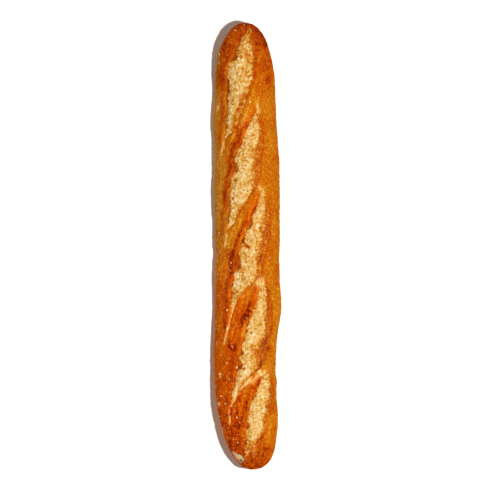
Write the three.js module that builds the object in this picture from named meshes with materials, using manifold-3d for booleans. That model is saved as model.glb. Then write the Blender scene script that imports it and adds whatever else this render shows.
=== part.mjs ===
// A baguette: one loaf of bread, lying on its flat base, with five long slashes across its crown.
//
// Millimetres. +X runs along the loaf, +Y across it towards the side that each slash's tail runs down to,
// and +Z is up. The origin is the middle of the loaf's footprint, on the surface it lies on.
//
// The dough is a long roll with two rounded ends. Each slash starts as a point near the -Y side and runs at
// a slant towards the +Y side. While baking, the cut opens into a leaf of torn crumb. Its +Y edge is the ear,
// a raised lip of crust that overhangs the crumb a little. Its -Y edge is soft and leaves only a low step.
// Between two slashes a strap of crust is left. So the solid is the swollen roll, less one leaf-shaped cut
// for each slash.

import * as THREE from "three";
import { mergeVertices } from "three/addons/utils/BufferGeometryUtils.js";
import Module from "manifold-3d";

const wasm = await Module();
wasm.setup();

// ---- driving dimensions ----------------------------------------------------------------------------
const LENGTH = 480; // tip to tip
const CROWN_HEIGHT = 51; // top of the crown above the table
const TIP_HEIGHT = 36; // the ends curl up off the table
const BELT_HEIGHT = 8; // where the section is widest, in the middle of the loaf
const BASE_SINK = 4; // how far the round underside would reach below the table, were it not pressed flat
const SETTLE = {
  belt: { head: 75, foot: 140 }, // how far from a tip the belt reaches its height
  crown: { head: 58, foot: 58 },
  under: { head: 80, foot: 100 },
};
const SECTION_POWER = 2.1; // 2 is an ellipse, more is boxier

const ROWS = 86; // sections along the loaf
const COLUMNS = 42; // points round a section
const END_CROWDING = 0.6; // 0 spaces the sections evenly, 1 crowds them most at the tips
const UNDERSIDE_DENSITY = 0.4; // points round the underside, against those round the crown

// The outline from above. Each side is a line that both ends round off, with swells where the dough stands
// out.
const SIDES = {
  ear: {
    sign: 1,
    out: 34.5,
    domes: { head: 60, foot: 99 }, // how long each end takes to round off
    swells: [
      { at: 135, out: 2.3, reach: 18 },
      { at: 55, out: 1.0, reach: 24 },
      { at: -9, out: -1.7, reach: 6 },
      { at: -118, out: 1.5, reach: 30 },
    ],
  },
  soft: {
    sign: -1,
    out: 28.4,
    domes: { head: 67, foot: 26.5 },
    swells: [
      { at: 222, out: 0.8, reach: 7 },
      { at: 87, out: 1.6, reach: 33 },
      { at: 12, out: 6.6, reach: 131 },
      { at: -64, out: 3.9, reach: 24 },
      { at: -146, out: 1.4, reach: 6 },
      { at: -186, out: 3.7, reach: 29 },
    ],
  },
};
const TIP_ACROSS = { head: 1.3, foot: -6.1 }; // the tips aren't in line with the middle

// The slashes, from the head end (+X) to the foot, as seen from above. The ear and the soft edge stand out
// from the straight line between tip and tail, most of all at peak, a share of that line. Past its waist the
// soft edge keeps only the tail's share of that.
const SLASHES = [
  {
    tip: [234, -1.6], tail: [97, 28.5],
    ear: { out: 12.5, peak: 0.36, sharp: 3.0 },
    soft: { out: 16.5, peak: 0.42, sharp: 1.9, waist: 0.57, tail: 1.0 },
  },
  {
    tip: [151.5, -11.3], tail: [-2.5, 24.7],
    ear: { out: 10.6, peak: 0.42, sharp: 4.0 },
    soft: { out: 19.2, peak: 0.52, sharp: 2.0, waist: 0.68, tail: 0.38 },
  },
  {
    tip: [61, -16.1], tail: [-105.5, 25.3],
    ear: { out: 8.6, peak: 0.42, sharp: 3.4 },
    soft: { out: 20.0, peak: 0.44, sharp: 1.9, waist: 0.64, tail: 0.22 },
  },
  {
    tip: [-36, -18.3], tail: [-193.5, 19.0],
    ear: { out: 8.4, peak: 0.46, sharp: 2.6 },
    soft: { out: 20.0, peak: 0.46, sharp: 1.9, waist: 0.66, tail: 0.05 },
  },
  {
    tip: [-135, -19.3], tail: [-226, 3.2],
    ear: { out: 8.4, peak: 0.4, sharp: 2.6 },
    soft: { out: 15.2, peak: 0.44, sharp: 1.35, waist: 0.95, tail: 0.6 },
  },
];
const WAIST_RUN = 0.08; // how sharply the soft edge draws in at its waist
const EAR = { height: 2.4, width: 7.5, drop: 1.6, overhang: 0.9 };
const SOFT_STEP = { depth: 1.2, run: 1.4 };
const CRUMB = { dome: 1.2, crag: 0.5, crag_length: 9, full_width: 14 };
const CUT_STATIONS = 30; // along a slash
const CUT_STEPS = 8; // across it
const CUT_ABOVE = 15; // how far a cut reaches above the crust, so that it opens it
const CUT_END_LIFT = 0.4; // its two points lie just above the crust, so that it runs out to nothing
const WELD_DISTANCE = 0.05; // corners closer than this become one
const CUT_RAMP = { tip: 0.1, tail: 0.15 }; // a cut reaches its depth over these shares of its length
const SWELL_RAMP = { tip: 0.14, tail: 0.2 }; // and the ear its height
const SWELL_OVER_CRUMB = 2.6; // how far the uncut dough stands above a slash's crumb at its middle
const TIP_CALM = 9; // the last of each tip is smooth
const DOUGH_LUMP = { height: 0.5, length: 70 }; // slow waves from shaping by hand

// A short tear by the foot tip, where the seam of the roll opened: where, how big, and which way it runs.
const SEAM_TEAR = { at: [-226.5, 11.5], half_size: [7.5, 3.2, 3.0], turn: Math.PI / 4.5 };

const CRUST_COLOUR = 0xb8620f;

// ---- small helpers ---------------------------------------------------------------------------------
const clamp01 = (v) => Math.min(1, Math.max(0, v));
const mix = (a, b, share) => a + (b - a) * share;
const smoothstep = (from, to, v) => {
  const s = clamp01((v - from) / (to - from));
  return s * s * (3 - 2 * s);
};
const bell = (v) => Math.exp(-v * v);
const slope = (v) => 0.5 + 0.5 * Math.cos(Math.PI * clamp01(v)); // from 1 at 0 to 0 at 1, level at both

// 0 at both ends, 1 at peak, and steeper the larger sharp is.
const hump = (t, peak, sharp) =>
  (t / peak) ** (sharp * peak) * ((1 - t) / (1 - peak)) ** (sharp * (1 - peak));

// Slow waves without a period, from -1 to 1.
const waves = (x, y, length) =>
  (Math.sin((6.3 * x) / length + 1.3) * Math.cos((4.9 * y) / length + 0.4) +
    Math.sin((3.7 * x + 2.9 * y) / length + 2.1) +
    Math.cos((5.1 * y - 2.3 * x) / length)) /
  3;

// ---- the roll --------------------------------------------------------------------------------------
// A quarter ellipse: 0 at the tip, 1 once length is behind.
const dome = (fromTip, length) => Math.sqrt(1 - (1 - clamp01(fromTip / length)) ** 2);

// How far the outline stands across at x, on one side.
function outline(side, x) {
  const end = x >= 0 ? "head" : "foot";
  let out = side.out;
  for (const swell of side.swells) out += swell.out * bell((x - swell.at) / swell.reach);
  return mix(TIP_ACROSS[end], side.sign * out, dome(LENGTH / 2 - Math.abs(x), side.domes[end]));
}

// The section's own numbers at x: middle and half width across, and the heights of belt, crown and underside.
function section(x) {
  const end = x >= 0 ? "head" : "foot";
  const fromTip = LENGTH / 2 - Math.abs(x);
  const left = outline(SIDES.ear, x);
  const right = outline(SIDES.soft, x);
  return {
    middle: (left + right) / 2,
    half: (left - right) / 2,
    belt: mix(TIP_HEIGHT, BELT_HEIGHT, smoothstep(0, SETTLE.belt[end], fromTip)),
    crown: mix(TIP_HEIGHT, CROWN_HEIGHT, dome(fromTip, SETTLE.crown[end])),
    under: mix(TIP_HEIGHT, -BASE_SINK, dome(fromTip, SETTLE.under[end])),
  };
}

// A point of the plain roll. Angle 0 looks to -Y, a quarter turn up.
function rollPoint(x, angle) {
  const s = section(x);
  const rounded = (v) => Math.sign(v) * Math.abs(v) ** (2 / SECTION_POWER);
  const up = rounded(Math.sin(angle));
  const z = s.belt + up * (up > 0 ? s.crown - s.belt : s.belt - s.under);
  return new THREE.Vector3(x, s.middle - s.half * rounded(Math.cos(angle)), z);
}

// How far shaping by hand left the crust above or below the plain roll.
const doughLump = (x, y) => DOUGH_LUMP.height * waves(x, y, DOUGH_LUMP.length);

// The angle at which the crown passes over y.
function crownAngle(x, y) {
  const s = section(x);
  const across = Math.min(0.999, Math.abs(y - s.middle) / s.half) ** (SECTION_POWER / 2);
  return Math.acos(Math.sign(s.middle - y) * across);
}

// Square to the roll, pointing out of it.
function rollNormal(x, angle) {
  const turn = 0.02;
  const shift = Math.min(0.5, (LENGTH / 2 - Math.abs(x)) / 2);
  const along = rollPoint(x + shift, angle).sub(rollPoint(x - shift, angle));
  const round = rollPoint(x, angle + turn).sub(rollPoint(x, angle - turn));
  return along.cross(round).normalize();
}

// ---- the slashes -----------------------------------------------------------------------------------
// Where a slash stands at a share t of its length.
function slashEdges({ tip, tail, ear, soft }, t) {
  const line = mix(tip[1], tail[1], t);
  const narrowing = mix(1, soft.tail, smoothstep(soft.waist - WAIST_RUN, soft.waist + WAIST_RUN, t));
  return {
    x: mix(tip[0], tail[0], t),
    ear: line + ear.out * hump(t, ear.peak, ear.sharp),
    soft: line - soft.out * hump(t, soft.peak, soft.sharp) * narrowing,
  };
}

// How far a slash swells the dough at (x, y): most at the ear, falling off on both sides of it.
function slashSwell(slash, x, y) {
  const t = (slash.tip[0] - x) / (slash.tip[0] - slash.tail[0]);
  if (t <= 0 || t >= 1) return 0;
  const edges = slashEdges(slash, t);
  const width = edges.ear - edges.soft;
  const fade = smoothstep(0, SWELL_RAMP.tip, t) * (1 - smoothstep(1 - SWELL_RAMP.tail, 1, t));
  const fromEar = y - edges.ear;
  if (fromEar > 0) return fade * EAR.height * slope(fromEar / EAR.width);
  const share = -fromEar / width;
  if (share > 1) return 0;
  const over = SWELL_OVER_CRUMB * smoothstep(0, CRUMB.full_width, width) * Math.sin(Math.PI * share);
  return fade * (EAR.height * slope(share) + over);
}

// The height of the torn crumb over the plain roll, a share of the way from the ear to the soft edge.
function crumbLift(width, share, x, y) {
  const open = smoothstep(0, CRUMB.full_width, width) * Math.sin(Math.PI * share);
  const toSoft = (1 - share) * width;
  const sunk = EAR.drop * (1 - share) ** 2 + SOFT_STEP.depth * Math.exp(-toSoft / SOFT_STEP.run);
  return open * (CRUMB.dome + CRUMB.crag * waves(x, y, CRUMB.crag_length)) - sunk;
}

// ---- solids ----------------------------------------------------------------------------------------
// A tube through rings of equally many points, closed at each end by a fan to a point.
function closedTube(rings, firstTip, lastTip) {
  const round = rings[0].length;
  const points = [...rings.flat(), firstTip, lastTip];
  const at = (ring, column) => ring * round + (column % round);
  const index = [];
  for (let column = 0; column < round; column++) {
    for (let ring = 0; ring + 1 < rings.length; ring++) {
      index.push(at(ring, column), at(ring + 1, column), at(ring, column + 1));
      index.push(at(ring, column + 1), at(ring + 1, column), at(ring + 1, column + 1));
    }
    index.push(points.length - 2, at(0, column), at(0, column + 1));
    index.push(points.length - 1, at(rings.length - 1, column + 1), at(rings.length - 1, column));
  }
  const geometry = new THREE.BufferGeometry().setFromPoints(points);
  geometry.setIndex(index);
  return geometry;
}

function solidOf(geometry) {
  for (const name of ["normal", "uv"]) geometry.deleteAttribute(name);
  const merged = mergeVertices(geometry);
  const vertProperties = new Float32Array(merged.attributes.position.array);
  const triVerts = new Uint32Array(merged.index.array);
  return new wasm.Manifold(new wasm.Mesh({ numProp: 3, vertProperties, triVerts }));
}

// The angles of one section's points, spread by length, with fewer round the underside.
function columnAngles(x) {
  const steps = 240;
  const angleAt = (i) => (2 * Math.PI * i) / steps - Math.PI / 2;
  const lengths = [0];
  for (let i = 1; i <= steps; i++) {
    const crownShare = smoothstep(-0.3, 0.3, Math.sin(angleAt(i - 0.5)));
    const piece = rollPoint(x, angleAt(i)).distanceTo(rollPoint(x, angleAt(i - 1)));
    lengths.push(lengths[i - 1] + piece * mix(UNDERSIDE_DENSITY, 1, crownShare));
  }
  const angles = [];
  let i = 0;
  for (let column = 0; column < COLUMNS; column++) {
    const wanted = (lengths[steps] * column) / COLUMNS;
    while (lengths[i + 1] <= wanted) i++;
    angles.push(angleAt(i + (wanted - lengths[i]) / (lengths[i + 1] - lengths[i])));
  }
  return angles;
}

// The whole roll, swollen round its slashes and pressed flat on the table.
function doughSolid() {
  const rings = [];
  for (let row = 1; row < ROWS; row++) {
    const along = (2 * row) / ROWS - 1;
    const x = (LENGTH / 2) * mix(along, Math.sin((Math.PI / 2) * along), END_CROWDING);
    rings.push(
      columnAngles(x).map((angle) => {
        const point = rollPoint(x, angle);
        const fromTip = LENGTH / 2 - Math.abs(x);
        const crownShare = smoothstep(-0.15, 0.25, Math.sin(angle)) * smoothstep(0, TIP_CALM, fromTip);
        let lift = doughLump(point.x, point.y);
        for (const slash of SLASHES) lift += slashSwell(slash, point.x, point.y);
        point.addScaledVector(rollNormal(x, angle), lift * crownShare);
        point.z = Math.max(0, point.z);
        return point;
      }),
    );
  }
  const tip = (end, sign) => new THREE.Vector3((sign * LENGTH) / 2, TIP_ACROSS[end], TIP_HEIGHT);
  return solidOf(closedTube(rings, tip("foot", -1), tip("head", 1)));
}

// What a slash takes away: the crumb's surface below, and open above.
function cutSolid(slash) {
  const lifted = (x, y, lift) => {
    const angle = crownAngle(x, y);
    const normal = rollNormal(x, angle).setX(0).normalize();
    return rollPoint(x, angle).addScaledVector(normal, doughLump(x, y) + lift);
  };
  const rings = [];
  for (let station = 1; station < CUT_STATIONS; station++) {
    const t = station / CUT_STATIONS;
    const { x, ear, soft } = slashEdges(slash, t);
    const depth = smoothstep(0, CUT_RAMP.tip, t) * (1 - smoothstep(1 - CUT_RAMP.tail, 1, t));
    const ring = [lifted(x, soft, CUT_ABOVE), lifted(x, ear, CUT_ABOVE)];
    for (let step = 0; step <= CUT_STEPS; step++) {
      const share = step / CUT_STEPS;
      const y = mix(ear, soft, share) + EAR.overhang * depth * (1 - share) ** 2;
      ring.push(lifted(x, y, depth * crumbLift(ear - soft, share, x, y)));
    }
    rings.push(ring);
  }
  const end = ([x, y]) => lifted(x, y, CUT_END_LIFT);
  return solidOf(closedTube(rings.reverse(), end(slash.tail), end(slash.tip)));
}

function seamTearSolid() {
  const [x, y] = SEAM_TEAR.at;
  const angle = crownAngle(x, y);
  const tear = new THREE.SphereGeometry(1, 14, 8);
  tear.scale(...SEAM_TEAR.half_size);
  tear.rotateZ(SEAM_TEAR.turn);
  const up = new THREE.Vector3(0, 0, 1);
  tear.applyQuaternion(new THREE.Quaternion().setFromUnitVectors(up, rollNormal(x, angle)));
  tear.translate(...rollPoint(x, angle).toArray());
  return solidOf(tear);
}

// A solid's mesh, without the slivers that a cut can leave.
function weldedGeometry(mesh) {
  const raw = new THREE.BufferGeometry();
  raw.setAttribute("position", new THREE.Float32BufferAttribute(mesh.vertProperties, 3));
  raw.setIndex(Array.from(mesh.triVerts));
  const welded = mergeVertices(raw, WELD_DISTANCE);
  const corners = welded.index.array;
  const kept = [];
  for (let i = 0; i < corners.length; i += 3) {
    const [a, b, c] = corners.slice(i, i + 3);
    if (a !== b && b !== c && c !== a) kept.push(a, b, c);
  }
  welded.setIndex(kept);
  return welded;
}

function loafGeometry() {
  let bread = doughSolid();
  for (const slash of SLASHES) bread = bread.subtract(cutSolid(slash));
  bread = bread.subtract(seamTearSolid());
  const geometry = weldedGeometry(bread.getMesh());
  geometry.computeBoundingBox();
  const { min, max } = geometry.boundingBox;
  geometry.translate(0, -(min.y + max.y) / 2, -min.z); // the footprint's middle is the origin
  geometry.computeVertexNormals();
  return geometry;
}

const loaf = new THREE.Mesh(
  loafGeometry(),
  new THREE.MeshStandardMaterial({ color: CRUST_COLOUR, roughness: 0.5, metalness: 0 }),
);
loaf.name = "loaf";

const baguette = new THREE.Group();
baguette.add(loaf);

export default baguette;
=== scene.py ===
# %% [markdown]
# # A baguette
# This lesson dresses the plain CAD loaf as bread. The CAD solid gives the size and the place, in metres,
# with +X along the loaf and +Z up. It stays in the file for collision, and the pieces made here stand for
# it. Shapes are worked out in millimetres with numpy and turned to metres where a mesh is made.

# %% Load the frame
import math

import bpy
import numpy as np
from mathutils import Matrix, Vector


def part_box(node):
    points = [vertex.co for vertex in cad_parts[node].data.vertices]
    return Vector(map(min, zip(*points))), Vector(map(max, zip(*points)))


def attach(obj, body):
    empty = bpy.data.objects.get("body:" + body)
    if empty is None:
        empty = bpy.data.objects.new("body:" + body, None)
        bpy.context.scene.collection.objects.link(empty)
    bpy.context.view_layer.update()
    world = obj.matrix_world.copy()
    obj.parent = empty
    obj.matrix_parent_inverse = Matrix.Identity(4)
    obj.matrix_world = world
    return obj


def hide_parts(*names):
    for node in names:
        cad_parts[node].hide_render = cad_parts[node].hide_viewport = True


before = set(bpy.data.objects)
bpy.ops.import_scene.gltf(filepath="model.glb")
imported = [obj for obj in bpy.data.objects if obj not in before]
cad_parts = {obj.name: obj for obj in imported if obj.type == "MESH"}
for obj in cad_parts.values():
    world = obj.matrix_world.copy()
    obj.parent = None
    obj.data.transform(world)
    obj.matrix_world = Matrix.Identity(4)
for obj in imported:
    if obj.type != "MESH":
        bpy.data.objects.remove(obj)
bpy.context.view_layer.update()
MM = 0.001

# %% [markdown]
# ## The roll
# A baker rolls the dough into a long cylinder and tapers its ends. Loft, metaball or sculpt could all make
# it. Formulas are used here, because the same named sizes made the CAD solid's roll, so the two rolls
# agree: an outline seen from above with a few swells, and a rounded section between table and crown.

# %% Sizes of the roll
LENGTH = 480.0
CROWN_HEIGHT = 51.0
TIP_HEIGHT = 36.0
BELT_HEIGHT = 8.0
BASE_SINK = 4.0
# how far from the head tip and from the foot tip each height settles
SETTLE = {"belt": (75.0, 140.0), "crown": (58.0, 58.0), "under": (80.0, 100.0)}
SECTION_POWER = 2.1
TIP_ACROSS = {"head": 1.3, "foot": -6.1}
EAR_SIDE = {
    "sign": 1, "out": 34.5, "head": 60.0, "foot": 99.0,
    "swells": [(135, 2.3, 18), (55, 1.0, 24), (-9, -1.7, 6), (-118, 1.5, 30)],
}
SOFT_SIDE = {
    "sign": -1, "out": 28.4, "head": 67.0, "foot": 26.5,
    "swells": [
        (222, 0.8, 7), (87, 1.6, 33), (12, 6.6, 131), (-64, 3.9, 24), (-146, 1.4, 6), (-186, 3.7, 29),
    ],
}
DOUGH_LUMP = {"height": 0.5, "length": 70.0}
TIP_CALM = 9.0
# a place looked up on the crown counts as no farther out than this share of the half width
WELL_INSIDE = 0.999
print("length over width, without the swells:", round(LENGTH / (EAR_SIDE["out"] + SOFT_SIDE["out"]), 1))


# %% Small curves that the shapes are made of
def smooth(start, end, v):
    """0 up to the start and 1 from the end on, with no corner. The end may lie before the start."""
    s = np.clip((v - start) / (end - start), 0, 1)
    return s * s * (3 - 2 * s)


def bell(v):
    return np.exp(-np.square(v))


def slope(v):
    return 0.5 + 0.5 * np.cos(np.pi * np.clip(v, 0, 1))


def mix(a, b, share):
    return a + (b - a) * share


def fade(t, ramp):
    """0 at both ends of a run from 0 to 1, and 1 between its two ramps."""
    return smooth(0, ramp[0], t) * (1 - smooth(1 - ramp[1], 1, t))


def dome(from_tip, length):
    """From 0 at a tip to 1 at this length, round like a quarter of a circle."""
    return np.sqrt(1 - np.square(1 - np.clip(from_tip / length, 0, 1)))


def hump(t, peak, sharp):
    """0 at both ends of a run from 0 to 1, and 1 at its peak."""
    t = np.clip(t, 0, 1)
    return (t / peak) ** (sharp * peak) * ((1 - t) / (1 - peak)) ** (sharp * (1 - peak))


def waves(x, y, length):
    """Three long waves that run in different directions, so that no two lumps look alike."""
    return (
        np.sin(6.3 * x / length + 1.3) * np.cos(4.9 * y / length + 0.4)
        + np.sin((3.7 * x + 2.9 * y) / length + 2.1)
        + np.cos((5.1 * y - 2.3 * x) / length)
    ) / 3


print("a smooth step, a quarter of the way along:", smooth(0, 1, 0.25))

# %% The roll's surface
def from_tip(x):
    return LENGTH / 2 - np.abs(x)


def outline(side, x):
    out = side["out"] + sum(size * bell((x - at) / reach) for at, size, reach in side["swells"])
    rounding = np.where(x >= 0, dome(from_tip(x), side["head"]), dome(from_tip(x), side["foot"]))
    tip = np.where(x >= 0, TIP_ACROSS["head"], TIP_ACROSS["foot"])
    return mix(tip, side["sign"] * out, rounding)


def section(x):
    """The middle and the half width of a section, and how high its belt, its crown and its underside are."""
    left, right = outline(EAR_SIDE, x), outline(SOFT_SIDE, x)
    belt_run, crown_run, under_run = (np.where(x >= 0, *SETTLE[name]) for name in ("belt", "crown", "under"))
    belt = mix(TIP_HEIGHT, BELT_HEIGHT, smooth(0, belt_run, from_tip(x)))
    crown = mix(TIP_HEIGHT, CROWN_HEIGHT, dome(from_tip(x), crown_run))
    under = mix(TIP_HEIGHT, -BASE_SINK, dome(from_tip(x), under_run))
    return (left + right) / 2, (left - right) / 2, belt, crown, under


def rounded(v):
    return np.sign(v) * np.abs(v) ** (2 / SECTION_POWER)


def roll_point(x, angle):
    """A point of the plain roll: angle 0 looks to -Y and a quarter turn looks up."""
    middle, half, belt, crown, under = section(x)
    up = rounded(np.sin(angle))
    z = belt + up * np.where(up > 0, crown - belt, belt - under)
    y = middle - half * rounded(np.cos(angle))
    return np.stack(np.broadcast_arrays(x, y, z), -1)


def crown_angle(x, y):
    """The angle at which the upper half of the section passes over this place."""
    middle, half = section(x)[:2]
    across = np.minimum(WELL_INSIDE, np.abs(y - middle) / half) ** (SECTION_POWER / 2)
    return np.arccos(np.sign(middle - y) * across)


def unit(v):
    return v / np.maximum(np.linalg.norm(v, axis=-1, keepdims=True), 1e-12)


def roll_frame(x, angle):
    """Two unit vectors on the roll: out of it, and round it towards +Y over the crown."""
    turn = 0.02
    shift = np.minimum(0.5, from_tip(x) / 2)
    along = roll_point(x + shift, angle) - roll_point(x - shift, angle)
    around = roll_point(x, angle + turn) - roll_point(x, angle - turn)
    return unit(np.cross(along, around)), unit(around)


print("half width at the middle, mm:", round(float(section(np.array(0.0))[1]), 1))

# %% [markdown]
# ## The slashes
# The baker cuts the dough with a blade held nearly flat. In the oven each cut opens into a leaf. One edge
# lifts into a thin dark lip, the ear. The other edge stays low. The torn inside dries pale, with toasted
# borders. Curves drawn by hand could give the edges, but one formula with a few numbers for each slash
# keeps the five alike, and crust and crumb can both ask it for an edge. A leaf is a straight line from its
# tip to its tail with a belly on each side, as (how far out, the share along it, how sharp). The rest
# makes each one uneven:
# - waist: where along it the soft side narrows, and to what share; tail_width: the most that a tail is
#   wide
# - nicks: shifts of the ear, as (share along, millimetres, reach)
# - ledge and teeth: the toasted shelf under the ear, and where it juts out into the crumb
# - band, bands and toast: the toasted border at the soft edge, where it is wider, and how brown it is, which
#   past the soft edge is partly painted shade
# - strip and gaps: how much darker the skin beside the ear is, partly as browned skin and partly as painted
#   shade of the ear's outer slope, and where it is darker again with painted shade or paler with painted
#   light, as (share along, reach along, millimetres past the ear, reach across, amount)

# %% The five slashes
SLASHES = [
    {
        "tip": (234, -1.6), "tail": (97, 28.5), "ear": (12.5, 0.36, 3.0), "soft": (16.5, 0.42, 1.9),
        "waist": (0.57, 1.0), "tail_width": 2.2, "ledge": 0.5, "band": 1.4, "toast": 0.4, "strip": 0.12,
        "nicks": [(0.31, 2.0, 0.05), (0.66, -2.2, 0.12)],
        "teeth": [(0.25, 6.0, 0.18), (0.42, 4.0, -0.3)],
        "bands": [(0.12, 1.6, 0.06), (0.82, 1.5, 0.08)],
        "gaps": [
            (0.16, 0.08, 5.5, 2.0, -0.12), (0.42, 0.28, 1.0, 1.4, 0.16), (0.92, 0.05, 1.4, 1.2, 0.15),
            (0.87, 0.05, 3.2, 2.4, 0.14),
        ],
    },
    {
        "tip": (151.5, -11.3), "tail": (-2.5, 24.7), "ear": (10.6, 0.42, 4.0), "soft": (19.2, 0.52, 2.0),
        "waist": (0.68, 0.38), "tail_width": 1.5, "ledge": 0.5, "band": 2.0, "toast": 0.42, "strip": 0.1,
        "nicks": [
            (0.2, 1.2, 0.08), (0.37, 1.5, 0.03), (0.6, 1.4, 0.1), (0.8, 1.6, 0.05), (0.91, 1.2, 0.05),
        ],
        "teeth": [(0.3, 1.5, 0.05), (0.46, 4.2, 0.1)],
        "bands": [(0.4, 4.0, 0.14)],
        "gaps": [
            (0.14, 0.07, 1.0, 1.8, 0.2), (0.5, 0.22, 3.2, 2.4, 0.19), (0.32, 0.08, 8.0, 4.0, 0.22),
            (0.76, 0.06, 2.0, 2.0, -0.14), (0.76, 0.06, 7.5, 2.0, 0.2),
            (0.62, 0.11, 3.2, 3.0, 0.2), (0.84, 0.06, 4.0, 1.8, 0.16), (0.27, 0.07, 3.2, 2.2, 0.2),
        ],
    },
    {
        "tip": (61, -16.1), "tail": (-105.5, 25.3), "ear": (8.6, 0.42, 3.4), "soft": (20.0, 0.44, 1.9),
        "waist": (0.64, 0.22), "tail_width": 1.8, "ledge": 0.5, "band": 2.0, "toast": 0.36, "strip": 0.12,
        "nicks": [(0.61, 1.2, 0.05), (0.91, -0.6, 0.05)],
        "teeth": [(0.14, 1.4, 0.06), (0.25, 5.4, 0.1), (0.335, 3.0, 0.05), (0.515, 5.4, 0.12)],
        "bands": [(0.17, 1.6, 0.05), (0.27, 4.5, 0.06), (0.42, 3.5, 0.08)],
        "gaps": [
            (0.15, 0.08, 1.2, 1.8, 0.25), (0.32, 0.12, 5.4, 2.2, 0.3), (0.46, 0.06, 0.6, 1.2, 0.34),
            (0.47, 0.07, 5.4, 1.8, 0.16), (0.55, 0.04, 1.8, 1.4, 0.24), (0.87, 0.05, 1.2, 1.4, 0.18),
        ],
    },
    {
        "tip": (-36, -18.3), "tail": (-193.5, 19.0), "ear": (8.4, 0.46, 2.6), "soft": (20.0, 0.46, 1.9),
        "waist": (0.66, 0.05), "tail_width": 1.1, "ledge": 0.5, "band": 2.4, "toast": 0.5, "strip": 0.08,
        "nicks": [(0.06, 1.5, 0.05), (0.3, 1.0, 0.06), (0.76, 1.0, 0.05), (0.9, 2.2, 0.09)],
        "teeth": [
            (0.305, 2.4, 0.05), (0.35, 2.4, 0.03), (0.42, 2.2, 0.05), (0.5, 2.8, 0.05), (0.6, 6.2, 0.09),
        ],
        "bands": [(0.24, 2.2, 0.08), (0.47, 4.6, 0.09)],
        "gaps": [
            (0.22, 0.12, 4.2, 2.8, 0.3), (0.46, 0.08, 7.5, 3.6, 0.26), (0.45, 0.06, 1.8, 1.4, -0.12),
            (0.76, 0.07, 1.2, 2.0, -0.25), (0.74, 0.1, 5.5, 2.2, -0.18), (0.36, 0.05, 1.2, 1.6, -0.2),
        ],
    },
    {
        "tip": (-135, -19.3), "tail": (-226, 3.2), "ear": (8.4, 0.4, 2.6), "soft": (15.2, 0.44, 1.35),
        "waist": (0.95, 0.6), "tail_width": 12.0, "ledge": 0.8, "band": 1.5, "toast": 0.4, "strip": 0.06,
        "nicks": [(0.15, -1.0, 0.06), (0.77, 1.0, 0.04), (0.87, 2.2, 0.05)],
        "teeth": [(0.3, 3.2, 0.14), (0.66, 2.5, 0.12), (0.84, 2.2, 0.04)],
        "bands": [(0.4, 2.0, 0.2)],
        "gaps": [
            (0.22, 0.12, 1.9, 2.8, 0.44), (0.56, 0.12, 6.8, 2.4, 0.28), (0.46, 0.06, 1.2, 1.4, -0.18),
            (0.78, 0.05, 6.8, 1.8, 0.24), (0.27, 0.12, 4.2, 1.8, 0.22), (0.64, 0.04, 3.8, 1.8, -0.2),
        ],
    },
]
print(len(SLASHES), "slashes, the first from x =", SLASHES[0]["tip"][0], "to", SLASHES[0]["tail"][0])


# %% Where the edges of a slash run
# shares of a slash: how fast its waist narrows, how abruptly a tooth ends, where the edges grow ragged
# after the tip and calm down before the tail, and where the tail starts and closes
WAIST_RUN = 0.08
TOOTH_END = 0.018
CALM_RAMP = (0.08, 0.1)
TAIL = {"starts": (0.8, 0.88), "closes": (1.0, 0.96)}
# the edges come no nearer to each other than this, in millimetres
NARROWEST = 0.05
# crooked lines laid over each other, each as (step along x, size, seed)
RAGGED = {
    "ear": [(6.0, 0.7, 0), (2.2, 0.35, 20)], "soft": [(8.0, 0.9, 40), (3.0, 0.4, 60)],
    "wander": [(9.0, 0.8, 80)], "uneven": [(5.0, 0.35, 100)], "tear": [(2.0, 0.2, 140)],
}
INSIDE_LAST_STEP = 1.001


def crooked_line(x, step, size, seed):
    """Random heights every few millimetres along x, joined smoothly."""
    rng = np.random.default_rng(seed)
    knots = np.arange(-LENGTH / 2 - step, LENGTH / 2 + 2 * step, step)
    heights = rng.uniform(-size, size, len(knots))
    place = np.clip((x - knots[0]) / step, 0, len(knots) - INSIDE_LAST_STEP)
    low = place.astype(int)
    share = smooth(0, 1, place - low)
    return mix(heights[low], heights[low + 1], share)


def ragged(kind, x, number=0):
    """The crooked lines of one kind added up. Each slash has its own, by its number."""
    return sum(crooked_line(x, step, size, number + seed) for step, size, seed in RAGGED[kind])


def bells(places, t):
    """Bumps added up, each as (share along, size, reach)."""
    return sum((size * bell((t - at) / reach) for at, size, reach in places), np.zeros_like(t))


def teeth(places, t):
    """Torn teeth: each grows slowly towards its place and ends abruptly, or the other way round."""
    total = np.zeros_like(t)
    for at, size, reach in places:
        way = np.sign(reach)
        grown = smooth(0, 1, way * (t - at) / abs(reach) + 1)
        total = total + size * grown * (1 - smooth(0, 1, way * (t - at) / TOOTH_END))
    return total


def slash_share(slash, x):
    return (slash["tip"][0] - x) / (slash["tip"][0] - slash["tail"][0])


def slash_edges(slash, t):
    """Both edges across the loaf, at a share t of the slash's length."""
    x = mix(slash["tip"][0], slash["tail"][0], t)
    line = mix(slash["tip"][1], slash["tail"][1], t)
    waist, tail = slash["waist"]
    narrowing = mix(1, tail, smooth(waist - WAIST_RUN, waist + WAIST_RUN, t))
    out, peak, sharp = slash["ear"]
    soft_out, soft_peak, soft_sharp = slash["soft"]
    calm = fade(t, CALM_RAMP)
    number = SLASHES.index(slash)
    ear = line + out * hump(t, peak, sharp) + bells(slash["nicks"], t)
    ear = ear + calm * ragged("ear", x, number)
    soft = line - soft_out * hump(t, soft_peak, soft_sharp) * narrowing
    soft = soft + calm * ragged("soft", x, number)
    thin = np.maximum(soft, ear - slash["tail_width"] * smooth(*TAIL["closes"], t))
    soft = mix(soft, thin, smooth(*TAIL["starts"], t))
    return ear, np.minimum(soft, ear - NARROWEST)


for number, slash in enumerate(SLASHES, 1):
    ear, soft = slash_edges(slash, np.linspace(0, 1, 101))
    print(f"slash {number}: widest {np.max(ear - soft):.1f} mm")

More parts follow.
